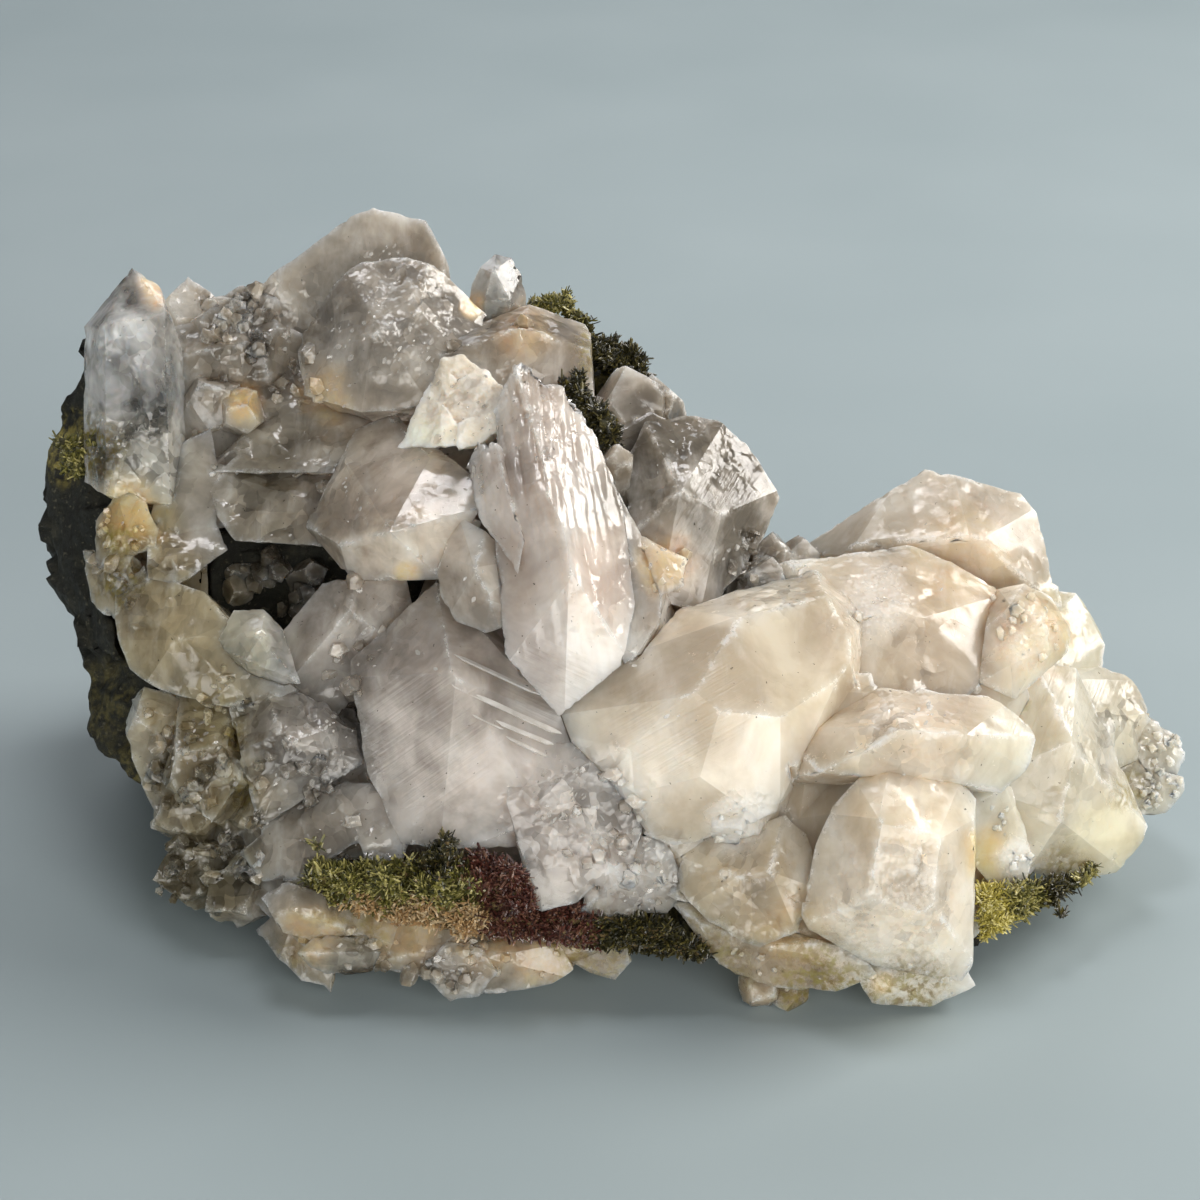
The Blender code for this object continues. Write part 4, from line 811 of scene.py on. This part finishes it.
def surface_tree(things):
    whole = bmesh.new()
    for thing in things:
        whole.from_mesh(thing.data)
    whole.normal_update()
    whole.verts.index_update()
    whole.faces.index_update()
    tree = BVHTree.FromBMesh(whole)
    whole.free()
    return tree


class Surface:
    """The shaped crystals as a line of sight first meets them."""

    def __init__(self, mound, wing):
        self.all = surface_tree([*mound, wing])
        self.wing = surface_tree([wing])

    def seen(self, across, up):
        """Place and outward normal of the surface at a spot in the picture."""
        eye = VIEW_CENTRE - BACK * VIEW_DISTANCE
        hit, normal, _, _ = self.all.ray_cast(eye, (place(across, up, 0) - eye).normalized())
        return hit, normal

    def on_wing(self, hit):
        return self.wing.find_nearest(hit)[3] < 0.05


def scattered(surface, groups, draw, build):
    """Meshes built at random spots of each group: those of the mound, then those of the right wing."""
    made = [], []
    for across, up, radius, count, *rest in groups:
        for _ in range(count):
            angle, reach = draw.uniform(0, math.tau), radius * math.sqrt(draw.random())
            hit, normal = surface.seen(across + math.cos(angle) * reach, up + math.sin(angle) * reach)
            if hit is not None and hit.z > 1.5:
                made[surface.on_wing(hit)].append(build(hit, normal, *rest, draw))
    return made


def flake(mesh, centre, normal, way, length, width, thickness, draw):
    """Adds a thin shard with an angular outline."""
    side = normal.cross(way).normalized()
    upper, lower = [], []
    for k in range(6):
        angle = math.tau * (k + draw.uniform(-0.35, 0.35)) / 6
        out = way * math.cos(angle) * length + side * math.sin(angle) * width
        upper.append(mesh.verts.new(centre + out * 0.9 + normal * thickness))
        lower.append(mesh.verts.new(centre + out - normal * thickness))
    mesh.faces.new(upper)
    mesh.faces.new(lower[::-1])
    for k in range(6):
        j = (k + 1) % 6
        mesh.faces.new((lower[k], lower[j], upper[j], upper[k]))


def veil(hit, normal, size, count, deepest, draw):
    """A healed crack inside a crystal: a sheet of tiny bright flakes."""
    mesh = bmesh.new()
    sheet = (normal + random_direction(draw) * 0.9).normalized()
    along = sheet.orthogonal().normalized()
    other = sheet.cross(along)
    middle = hit - normal * draw.uniform(0.5, deepest)
    for _ in range(count):
        spread = along * draw.gauss(0, size * 0.33) + other * draw.gauss(0, size * 0.2)
        tilted = (sheet + random_direction(draw) * 0.35).normalized()
        length = 0.10 + 0.34 * draw.random() ** 3
        centre = middle + spread + sheet * draw.gauss(0, 0.12)
        way = tilted.orthogonal().normalized()
        flake(mesh, centre, tilted, way, length, length * draw.uniform(0.35, 0.9), 0.02, draw)
    return mesh


def glint(hit, normal, longest, angle, draw):
    """A small bright crystal face that stands on a frosted surface."""
    turned = math.radians(angle)
    tilted = (normal + random_direction(draw) * 0.35).normalized()
    way = RIGHT * math.cos(turned) + UP * math.sin(turned) + random_direction(draw) * 0.5
    way = (way - tilted * way.dot(tilted)).normalized()
    length = longest * (0.25 + 0.75 * draw.random() ** 2)
    mesh = bmesh.new()
    flake(mesh, hit, tilted, way, length, length * draw.uniform(0.35, 0.8), 0.05, draw)
    return mesh


def small_point(hit, normal, longest, draw):
    """A small crystal that grows out of the surface."""
    way = (normal * 1.2 + random_direction(draw)).normalized()
    length = longest * (0.35 + 0.65 * draw.random())
    width = length * draw.uniform(0.35, 0.65)
    reach = way * length * 0.5
    return prism(hit - reach, hit + reach, width, width * 0.9, draw.uniform(0, 60))


def growth_ledges(surface):
    """Narrow steps across the large prism, in a pale, nearly opaque finish that paints a highlight along them."""
    made = []
    for first, last, width in LEDGES:
        start, normal = surface.seen(*first)
        end, other = surface.seen(*last)
        way = (end - start).normalized()
        normal = (normal + other).normalized()
        side = way.cross(normal).normalized()
        if side.z > 0:
            side = -side
        mesh = bmesh.new()
        for along, reach in ((0.0, 0.25), (0.12, 1.0), (0.9, 1.0), (1.0, 0.3)):
            centre = start.lerp(end, along)
            mesh.verts.new(centre - side * width * 0.5 * reach - normal * 0.2)
            mesh.verts.new(centre + side * width * 0.5 * reach - normal * 0.2)
            mesh.verts.new(centre + side * width * 0.42 * reach + normal * 0.30 * reach)
        hull = bmesh.ops.convex_hull(mesh, input=mesh.verts)
        bmesh.ops.delete(mesh, geom=list({*hull["geom_interior"], *hull["geom_unused"]}), context="VERTS")
        bmesh.ops.recalc_face_normals(mesh, faces=mesh.faces)
        made.append(mesh)
    return made


# Sheets of flakes inside the crystals: (across, up, radius, sheets, size, flakes in each, depth under the surface).
VEILS = [
    (-46.5, 27, 1.6, 4, 2.6, 34, 4), (-44.5, 23, 1.8, 4, 2.6, 30, 4), (-46, 16, 2.4, 6, 3, 32, 4),
    (-45, 12, 1.6, 4, 2.4, 26, 3), (-34, -5, 1.6, 3, 1.8, 18, 2), (-25, 34, 2.6, 3, 4, 16, 3), (-6, 26, 2, 3, 3, 20, 2.5),
    (-25, 11, 2, 3, 3, 22, 2.5), (-18, 13, 2, 3, 3, 14, 2.5), (-12, 2, 1.6, 3, 2.4, 18, 2.5), (-35, 27, 2, 3, 3, 20, 2),
    (-31, 24, 2, 3, 3, 20, 2), (-28, 17, 2.6, 3, 4, 24, 2.5), (-6, 17, 2, 3, 3, 30, 2), (-4, 13, 2, 3, 3, 20, 2),
    (-3, -20, 3, 5, 4, 30, 2), (2, -25, 3, 4, 4, 30, 2), (5, -29, 2, 3, 3, 20, 2), (-41, -17, 3, 3, 4, 20, 2.5),
    (-37, -22, 3, 3, 4, 20, 2), (-29, -15, 3, 4, 4, 26, 2), (8, 13, 3, 3, 4, 18, 2.5), (12, 7, 2, 3, 3, 14, 2.5),
    (-17, -10, 4, 4, 5, 18, 3), (-22, -2, 2, 3, 3, 18, 2), (-28, -23, 2, 3, 3, 14, 2), (28, 1, 3, 3, 4, 22, 1.5),
    (33, -2, 3, 3, 4, 20, 1.5), (30, -13, 3, 3, 4, 20, 1.5), (34, 8, 3, 3, 5, 14, 2), (46, -14, 3, 3, 4, 16, 1.5),
    (53, -12, 2, 3, 3, 16, 1.5), (28, -24, 3, 3, 4, 10, 1.5), (6, -8, 3, 3, 5, 12, 1.5),
]

# Groups of small bright faces: (across, up, radius, number, length, direction in degrees).
GLINTS = [
    (-21, 29, 6.5, 77, 0.46, 70), (-17, 24, 4, 21, 0.37, 70), (-9, 28, 3, 14, 0.37, 20), (-35, 29, 3.5, 18, 0.56, 50),
    (-31, 23, 3, 13, 0.43, 10), (-27, 22, 3, 17, 0.37, 30), (-14, 19, 4, 28, 0.31, 40), (-6, 17, 3.5, 25, 0.5, 100),
    (-12.4, 12, 1.6, 17, 0.56, 105), (-23, 9, 2.5, 11, 0.31, 40), (10, 14, 4, 17, 0.37, 140), (7, 3.5, 2, 18, 0.37, 60),
    (28, 0, 4, 31, 0.43, 20), (43, -2, 3, 21, 0.43, 60), (40, -14, 1.6, 6, 0.81, 30), (13.6, -22.2, 2.6, 21, 0.43, 20),
    (29, -29, 5.5, 42, 0.43, 45), (32, -21, 3, 10, 0.37, 45), (46, -11, 3.5, 14, 0.5, 120), (54, -14, 3, 17, 0.43, 60),
    (56, -19, 2, 14, 0.37, 60), (-2, -20, 5, 42, 0.56, 60), (4, -27, 4, 35, 0.62, 20), (-24, -3, 4, 21, 0.56, 40),
    (-29, -15, 4.5, 42, 0.5, 50), (-33, -20, 4, 21, 0.5, 50), (-41, -14, 4, 17, 0.5, 100), (-38, -11, 3, 14, 0.43, 0),
    (-14, -37, 3.5, 24, 0.5, 30), (-27, -24, 3, 14, 0.43, 30), (-47, 9, 2, 14, 0.43, 70), (15, 4, 3, 18, 0.37, 0),
    (41.6, -26, 1.8, 18, 0.37, 60), (20, -39, 5, 17, 0.37, 10),
]

# Groups of small crystals: (across, up, radius, number, length).
SMALL_POINTS = [
    (-35, 27, 4.0, 22, 3.4), (-30, 22, 3.0, 12, 3.0), (-41, -17, 4.5, 26, 3.4), (-36, -25, 4.0, 18, 3.0),
    (-42, -27, 3.0, 14, 2.8), (-30, -18, 4.0, 14, 3.0), (-14, -36.4, 3.0, 12, 2.6), (-24, -35, 3.0, 9, 2.4),
    (-6, -36, 4.0, 12, 2.0), (0, -22, 5.0, 16, 2.6), (5, -28, 3.0, 12, 2.2), (15, 5, 3.0, 12, 2.4),
    (-48, 7, 2.4, 10, 2.4), (-47.6, 1, 2.0, 10, 2.0), (-38, -10.5, 3.5, 12, 2.2), (-25, -7, 3.0, 8, 3.0),
    (-35.6, 2, 1.2, 4, 6.0), (-33, 3.6, 1.0, 3, 5.0), (-29.2, 2.4, 1.0, 4, 6.0), (-31, -0.5, 1.2, 3, 5.0),
    (56, -19, 2.2, 26, 1.9), (56, -14.5, 2.0, 10, 2.2), (43, -3, 3.0, 16, 2.0), (40, -22, 1.6, 12, 1.8),
    (15, -38.5, 4.0, 12, 1.8), (13, -22, 2.0, 8, 1.6), (41.5, -26, 1.6, 12, 1.8), (33, -39, 4.0, 10, 1.8),
]

# Steps on the large prism: (start, end, width).
LEDGES = [
    ((-14.2, -6.9), (-3.7, -11.9), 0.9), ((-12.4, -9.4), (-3.8, -13.3), 0.8),
    ((-10.4, -12.0), (-4.6, -14.4), 0.7), ((-14.8, -8.4), (-11.0, -10.2), 0.5),
    ((-14.6, -5.4), (-6.0, -9.4), 0.4), ((-9.4, -13.6), (-5.2, -15.6), 0.5), ((-12.8, -11.4), (-9.6, -12.9), 0.4),
]


def flake_look(name, transmission):
    """Clean small faces and open cracks, which flash where they face the light."""
    look = Look(name, IOR=QUARTZ_IOR, Transmission_Weight=transmission)
    look.set("Base Color", look.ramp(look.noise(1.5), (0.35, (0.70, 0.67, 0.62)), (0.65, (0.92, 0.90, 0.87))))
    look.set("Roughness", look.ramp(look.noise(0.8), (0.35, 0.02), (0.65, 0.16)))
    look.set("Normal", look.bump(look.noise(0.4, 3.0), 0.008))
    return look.material


def quartz_pieces():
    draw = random.Random(7)
    clear = combine(crystal("tall_prism"), [crystal("rear_tip"), crystal("tiny_crystal")], "UNION")
    chips(clear, draw, 22, (0.08, 0.25))
    point = crystal("bright_point")
    chips(point, draw, 6, (0.08, 0.25))
    blade = combine(crystal("centre_blade"), [crystal("blade_edge")], "UNION")
    chips(blade, draw, 26)
    wedge = crystal("sugary_wedge")
    chips(wedge, draw, 16)
    grey = node_solid("quartz_grey_cluster")
    combine(grey, [crystal(name, 0.04) for name in CRYSTALS], "DIFFERENCE")
    growth_plates(grey, draw, 14)
    chips(grey, draw, 150)
    milky = node_solid("quartz_milky_cluster")
    chips(milky, draw, 110)

    rock = node_solid("matrix_rock")
    surface = Surface([clear, point, blade, wedge, grey, rock], milky)
    bpy.data.objects.remove(rock, do_unlink=True)
    mound_points, wing_points = scattered(surface, SMALL_POINTS, draw, small_point)
    mound_points += seam_crystals(grey, draw, 150, 3.4)
    wing_points += seam_crystals(milky, draw, 50, 2.6)
    mound_glints, wing_glints = scattered(surface, GLINTS, draw, glint)
    mound_veils, wing_veils = scattered(surface, VEILS, draw, veil)
    ledges = join_meshes("ledges", growth_ledges(surface))

    crystal_skin(clear, 0.6, 1.2, 0.02, 0.01)
    clear_look = quartz(
        "clear_quartz", [(0.90, 0.90, 0.89), (0.94, 0.94, 0.93), (0.97, 0.97, 0.96)], 0.60, (0.94, 0.93, 0.90), 10.0,
        (0.01, 0.07), relief=0.01,
    )
    mound = "quartz_grey_cluster"
    wing = "quartz_milky_cluster"
    finish_piece(clear, "quartz_clear_crystals", [mound], clear_look)

    crystal_skin(point, 0.5, 1.2, 0.02, 0.01)
    point_look = quartz(
        "bright_quartz", [(0.86, 0.86, 0.85), (0.93, 0.93, 0.92), (0.98, 0.98, 0.97)], 0.45, (0.94, 0.93, 0.90), 10.0,
        (0.01, 0.08), relief=0.01,
    )
    finish_piece(point, "quartz_bright_point", [mound], point_look)

    crystal_skin(blade, 0.32, 0.8, 0.05, 0.03)
    points, normals = skin_points(blade)
    across, up, _ = to_picture(points)
    sideways = (across + 8.0) * 0.97 + (up - 20.0) * 0.16
    stretched = np.stack([sideways / 0.9, up / 9.0, np.zeros(len(up))], axis=1)
    flutes = np.array([noise.fractal(p, 0.9, 2.1, 3) for p in stretched])
    top = smooth_step((up + 3.0) / 20.0)
    set_points(blade, points + normals * (flutes * (0.05 + 0.36 * top))[:, None])
    blade_look = quartz(
        "blade_quartz", [(0.76, 0.68, 0.62), (0.84, 0.77, 0.71), (0.92, 0.87, 0.82)], 0.22, (0.92, 0.86, 0.82), 16.0,
        (0.05, 0.16), 6.0,
    )
    finish_piece(blade, "quartz_centre_blade", [mound], blade_look)

    crystal_skin(wedge, 0.28, 0.8, 0.12, 0.20)
    wedge_look = quartz(
        "sugary_quartz", [(0.93, 0.83, 0.66), (0.96, 0.90, 0.77), (0.98, 0.95, 0.88)], 0.04, (0.95, 0.85, 0.6), 60.0,
        (0.35, 0.55), 2.0, 0.10,
    )
    finish_piece(wedge, "quartz_sugary_wedge", [mound], wedge_look)

    grey_look = quartz(
        "grey_quartz", [(0.66, 0.60, 0.53), (0.78, 0.72, 0.645), (0.89, 0.84, 0.77)], 0.32, (0.92, 0.88, 0.81), 16.0,
        depth=7.0,
    )
    finish_piece(crystal_skin(grey), "quartz_grey_crystals", [mound], grey_look)
    small = crystal_skin(join_meshes("small", mound_points), 0.9, 2.0, 0.02, 0.02)
    small_grey = quartz(
        "small_grey_quartz", [(0.62, 0.56, 0.48), (0.76, 0.70, 0.61), (0.88, 0.82, 0.73)], 0.5, (0.90, 0.85, 0.76), 20.0,
        depth=1.0,
    )
    finish_piece(small, "quartz_small_grey", [mound], small_grey)

    milky_look = quartz(
        "milky_quartz", [(0.83, 0.73, 0.58), (0.89, 0.81, 0.68), (0.94, 0.885, 0.775)], 0.17, (0.97, 0.93, 0.85), 22.0,
        (0.08, 0.28), 6.0,
    )
    finish_piece(crystal_skin(milky, swell=0.2), "quartz_milky_crystals", [wing], milky_look)
    small = crystal_skin(join_meshes("small", wing_points), 0.9, 2.0, 0.02, 0.02)
    small_milky = quartz(
        "small_milky_quartz", [(0.82, 0.74, 0.61), (0.89, 0.82, 0.71), (0.94, 0.89, 0.80)], 0.16, (0.96, 0.91, 0.83), 26.0,
        (0.06, 0.2), 1.0,
    )
    finish_piece(small, "quartz_small_milky", [wing], small_milky)

    glint_look = flake_look("glint_quartz", 0.72)
    veil_look = flake_look("crack_faces", 0.5)
    # The steps' pale, nearly opaque finish is a painted highlight along them.
    finish_piece(ledges, "quartz_ledges", [mound], flake_look("ledge_quartz", 0.15), False)
    finish_piece(join_meshes("glints", mound_glints), "quartz_glints_mound", [mound], glint_look, False)
    finish_piece(join_meshes("glints", wing_glints), "quartz_glints_wing", [wing], glint_look, False)
    finish_piece(join_meshes("veils", mound_veils), "quartz_veils_mound", [mound], veil_look, False)
    finish_piece(join_meshes("veils", wing_veils), "quartz_veils_wing", [wing], veil_look, False)


# Olive crust on the rock, as (across, up, radius, strength).
ROCK_OLIVE = [
    (-53, 15, 3.4, 1.0), (-50, -10, 4, 0.3), (-46, -20, 6, 0.5), (-38, -30, 8, 0.7), (-20, -34, 9, 0.8),
    (0, -36, 9, 0.8), (20, -40, 9, 0.8), (44, -28, 6, 0.9), (4, 20, 9, 0.5),
]


def rock_piece():
    rock = node_solid("matrix_rock")
    remesh(rock, 0.65)
    points, normals = skin_points(rock)
    height = rough(points, 6.0, 2.0, 6) * 0.75 + broken_relief(points, 4.0, 1.0) * 0.5 - 0.45
    height *= smooth_step(points[:, 2] / 2.0)
    points = points + normals * height[:, None]
    set_points(rock, points)
    set_attribute(rock, "olive", spot_mask(points, ROCK_OLIVE))
    look = Look("dark_host_rock")
    colour = look.ramp(
        look.noise(3.0, 8.0, 0.65), (0.30, (0.005, 0.005, 0.003)), (0.52, (0.015, 0.016, 0.010)),
        (0.68, (0.044, 0.040, 0.024)),
    )
    speck = look.ramp(look.noise(0.5, 3.0, 0.6), (0.60, 0.0), (0.68, 0.7))
    colour = look.mix(speck, colour, (0.14, 0.13, 0.09))
    moss = look.sum("MULTIPLY", look.attribute("olive"), look.ramp(look.noise(1.6, 6.0, 0.7), (0.42, 0.0), (0.56, 1.0)))
    olive = look.ramp(look.noise(0.8, 5.0, 0.7), (0.35, (0.06, 0.05, 0.01)), (0.65, (0.36, 0.30, 0.08)))
    colour = look.mix(moss, colour, olive)
    look.set("Base Color", colour)
    look.set("Roughness", look.ramp(look.noise(1.0, 4.0), (0.35, 0.45), (0.65, 0.85)))
    normal = look.bump(look.noise(1.2, 8.0, 0.75), 0.5)
    normal = look.bump(broken_faces(look, 2.4)[1], 500.0, 1.0, normal)
    look.set("Normal", look.bump(look.cells(0.8), 0.2, 0.7, normal))
    finish_piece(rock, "host_rock", ["matrix_rock"], look.material)


def needle_mesh(name, roots, directions, lengths, widths, tints):
    """Many small four-sided needles with chisel tips, in one mesh."""
    count = len(roots)
    helper = np.where(np.abs(directions[:, 2:3]) < 0.9, np.array([[0, 0, 1.0]]), np.array([[1.0, 0, 0]]))
    side = np.cross(directions, helper)
    side /= np.linalg.norm(side, axis=1)[:, None]
    front = np.cross(side, directions)
    corners = np.empty((count, 9, 3))
    for k in range(4):
        angle = math.pi / 2 * k
        out = side * math.cos(angle) + front * math.sin(angle) * 0.7
        corners[:, k] = roots + out * widths[:, None] * 0.5
        corners[:, 4 + k] = roots + directions * (lengths * 0.88)[:, None] + out * widths[:, None] * 0.42
    corners[:, 8] = roots + directions * lengths[:, None]
    faces = []
    for n in range(count):
        b = n * 9
        faces.append((b + 3, b + 2, b + 1, b))
        for k in range(4):
            j = (k + 1) % 4
            faces.append((b + k, b + j, b + 4 + j, b + 4 + k))
            faces.append((b + 4 + k, b + 4 + j, b + 8))
    data = bpy.data.meshes.new(name)
    points = corners.reshape(-1, 3)
    points[:, 2] = np.maximum(points[:, 2], 0.05)
    data.from_pydata(points.tolist(), [], faces)
    layer = data.color_attributes.new("tint", "FLOAT_COLOR", "POINT")
    colours = np.ones((count, 9, 4), dtype=np.float32)
    colours[:, :, :3] = tints[:, None, :]
    # Painted shade: the four corners at each needle's foot are darker, where the needles crowd together.
    colours[:, :4, :3] *= 0.55
    layer.data.foreach_set("color", colours.ravel())
    thing = bpy.data.objects.new(name, data)
    bpy.context.scene.collection.objects.link(thing)
    return thing


def epidote_look():
    look = Look("epidote_needles", IOR=1.73)
    colour = look.mix(0.35, look.tint("tint"), look.ramp(look.noise(0.6), (0.3, 0.25), (0.7, 1.0)), "MULTIPLY")
    look.set("Base Color", colour)
    look.set("Roughness", look.ramp(look.noise(0.4), (0.3, 0.22), (0.7, 0.5)))
    look.set("Normal", look.bump(look.noise(0.25, 3.0), 0.05))
    return look.material


def bed_look(name, colours):
    look = Look(name)
    look.set("Base Color", look.ramp(look.noise(1.1, 6.0, 0.7), *zip((0.32, 0.5, 0.68), colours)))
    look.set("Roughness", look.ramp(look.noise(0.7), (0.3, 0.5), (0.7, 0.85)))
    look.set("Normal", look.bump(look.noise(0.5, 6.0, 0.75), 0.3))
    return look.material


GREEN_BLACK = [(0.010, 0.010, 0.003), (0.040, 0.036, 0.009), (0.17, 0.14, 0.035)]
OLIVE_GREEN = [(0.035, 0.040, 0.008), (0.24, 0.22, 0.045), (0.70, 0.62, 0.24)]
YELLOW_GREEN = [(0.34, 0.29, 0.045), (0.64, 0.55, 0.12), (0.86, 0.78, 0.36)]
RED_BROWN = [(0.035, 0.010, 0.007), (0.12, 0.032, 0.022), (0.26, 0.13, 0.08)]
TAN = [(0.42, 0.24, 0.10), (0.62, 0.42, 0.20), (0.80, 0.66, 0.44)]

# Where each colour of needle grows, as (across, up, radius) in the picture; the nearest patch gives the colour.
PATCHES = {
    "epidote_crust_top": [(-4.5, 29, 3, OLIVE_GREEN), (0, 25, 3, GREEN_BLACK), (5, 22, 4, GREEN_BLACK)],
    "epidote_crust_middle": [(0, 19, 9, GREEN_BLACK)],
    "epidote_crust_left": [(-50, 14, 9, OLIVE_GREEN)],
    "epidote_crust_front": [
        (-28.5, -27, 3, OLIVE_GREEN), (-25, -28, 3, OLIVE_GREEN), (-20.5, -28.5, 3, OLIVE_GREEN),
        (-15.5, -25.5, 3, GREEN_BLACK), (-14.5, -29, 2.4, OLIVE_GREEN), (-11.5, -26.5, 2.4, RED_BROWN),
        (-9.5, -29.5, 2.6, RED_BROWN), (-8.5, -33, 2.4, RED_BROWN), (-19, -31.6, 2.2, TAN), (-14.5, -32.4, 2.2, TAN),
        (-24, -31, 2, TAN), (-3, -33, 3, RED_BROWN), (2, -33, 3, GREEN_BLACK), (7.5, -33, 3, GREEN_BLACK),
    ],
    "epidote_crust_right": [
        (38.5, -30, 3, YELLOW_GREEN), (39, -33, 3, YELLOW_GREEN), (42, -30, 2.4, OLIVE_GREEN),
        (46, -29, 3, GREEN_BLACK), (48.5, -28.4, 3, OLIVE_GREEN),
    ],
}
NEEDLE_COUNTS = {
    "epidote_crust_top": 4200,
    "epidote_crust_middle": 2400,
    "epidote_crust_left": 1100,
    "epidote_crust_front": 11000,
    "epidote_crust_right": 4000,
}
BED_COLOURS = {
    "epidote_crust_front": [(0.05, 0.04, 0.012), (0.16, 0.11, 0.04), (0.40, 0.28, 0.13)],
    "epidote_crust_right": [(0.10, 0.08, 0.015), (0.28, 0.22, 0.05), (0.55, 0.46, 0.18)],
}


def crust_pieces():
    material = epidote_look()
    for number, (node, patches) in enumerate(PATCHES.items()):
        draw = np.random.default_rng(40 + number)
        bed = node_solid(node)
        remesh(bed, 0.45)
        points, normals = skin_points(bed)
        height = rough(points, 1.4, 9.0, 5) * 0.35 - 0.45
        set_points(bed, points + normals * height[:, None])
        points, normals = skin_points(bed)
        towards = normals @ np.array(-BACK) + 0.55 * normals @ np.array(UP) + 0.25
        weight = np.clip(towards, 0.0, 1.0) + 0.02
        chosen = draw.choice(len(points), NEEDLE_COUNTS[node], p=weight / weight.sum())
        count = len(chosen)
        spread = draw.normal(0, 0.55, (count, 3))
        directions = normals[chosen] + spread + 0.25 * np.array(UP)
        directions /= np.linalg.norm(directions, axis=1)[:, None]
        lengths = 0.4 + 1.1 * draw.random(count) ** 1.6
        widths = draw.uniform(0.12, 0.36, count)
        roots = points[chosen] - directions * 0.35 + draw.normal(0, 0.12, (count, 3))
        across, up, _ = to_picture(roots)
        across = across + draw.normal(0, 0.5, count)
        up = up + draw.normal(0, 0.5, count)
        tints = np.empty((count, 3))
        away = np.array([np.hypot(across - x, up - y) / radius for x, y, radius, _ in patches])
        nearest = away.argmin(axis=0)
        for n in range(count):
            shades = patches[nearest[n]][3]
            mix = draw.random() ** 1.25 * 1.999
            low = int(mix)
            tints[n] = np.array(shades[low]) * (1 - mix + low) + np.array(shades[low + 1]) * (mix - low)
        needles = needle_mesh(node + "_needles", roots, directions, lengths, widths, tints)
        finish_piece(needles, node + "_needles", [node], material, False)
        shades = BED_COLOURS.get(node, GREEN_BLACK)
        finish_piece(bed, node + "_bed", [node], bed_look(node + "_bed", shades))


# ---- surroundings


def floor():
    mesh = bmesh.new()
    bmesh.ops.create_grid(mesh, x_segments=8, y_segments=8, size=4.0)
    thing = to_object("floor", mesh)
    look = Look("floor_paint")
    look.set("Base Color", look.ramp(look.noise(60.0, 2.0), (0.3, (0.30, 0.365, 0.385)), (0.7, (0.33, 0.395, 0.415))))
    look.set("Roughness", look.ramp(look.noise(25.0, 2.0), (0.3, 0.55), (0.7, 0.62)))
    thing.data.materials.append(look.material)


def area_light(name, spot, size, power, colour=(1, 1, 1), aim=(0, 0, 0.02)):
    light = bpy.data.lights.new(name, "AREA")
    light.shape = "RECTANGLE"
    light.size, light.size_y = size
    light.energy = power
    light.color = colour
    thing = bpy.data.objects.new(name, light)
    thing.location = spot
    thing.rotation_euler = (Vector(spot) - Vector(aim)).to_track_quat("Z", "Y").to_euler()
    bpy.context.scene.collection.objects.link(thing)
    return thing


def surroundings():
    floor()
    scene = bpy.context.scene
    world = bpy.data.worlds.new("studio")
    scene.world = world
    world.use_nodes = True
    world.node_tree.nodes["Background"].inputs["Color"].default_value = (0.80, 0.86, 0.90, 1)
    world.node_tree.nodes["Background"].inputs["Strength"].default_value = 0.12
    area_light("key", (0.44, 0.16, 0.36), (0.34, 0.26), 3.2, (1.0, 0.965, 0.92))
    area_light("back", (-0.06, 0.50, 0.36), (0.44, 0.22), 0.8, (0.97, 0.98, 1.0))
    area_light("front", (0.22, -0.52, 0.20), (0.6, 0.3), 2.65, (1.0, 0.97, 0.92))
    area_light("low_left", (-0.34, -0.46, 0.10), (0.4, 0.16), 0.9, (1.0, 0.98, 0.94))
    area_light("overhead", (-0.02, 0.09, 0.47), (0.14, 0.12), 0.5, (1.0, 0.98, 1.0), (-0.02, 0.0, 0.03))

    camera = bpy.data.cameras.new("camera")
    camera.sensor_width = 36.0
    camera.lens = 36.0 * VIEW_DISTANCE / VIEW_WIDTH
    camera.clip_start = 0.01
    thing = bpy.data.objects.new("camera", camera)
    thing.location = (VIEW_CENTRE - BACK * VIEW_DISTANCE) * MM
    thing.rotation_euler = (-BACK).to_track_quat("Z", "Y").to_euler()
    scene.collection.objects.link(thing)
    scene.camera = thing

    scene.view_settings.view_transform = "Standard"
    scene.cycles.use_denoising = True
    scene.cycles.max_bounces = 12
    scene.cycles.diffuse_bounces = 3
    scene.cycles.glossy_bounces = 4
    scene.cycles.transmission_bounces = 10
    scene.cycles.volume_bounces = 0
    scene.cycles.sample_clamp_indirect = 6.0


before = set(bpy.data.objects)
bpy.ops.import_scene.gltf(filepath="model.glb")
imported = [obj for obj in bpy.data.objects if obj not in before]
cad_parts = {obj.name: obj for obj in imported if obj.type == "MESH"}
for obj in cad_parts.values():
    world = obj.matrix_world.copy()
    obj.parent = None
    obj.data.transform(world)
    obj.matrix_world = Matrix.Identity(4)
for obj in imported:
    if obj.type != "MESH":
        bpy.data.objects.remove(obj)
solid_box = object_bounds()
quartz_pieces()
rock_piece()
crust_pieces()
surroundings()
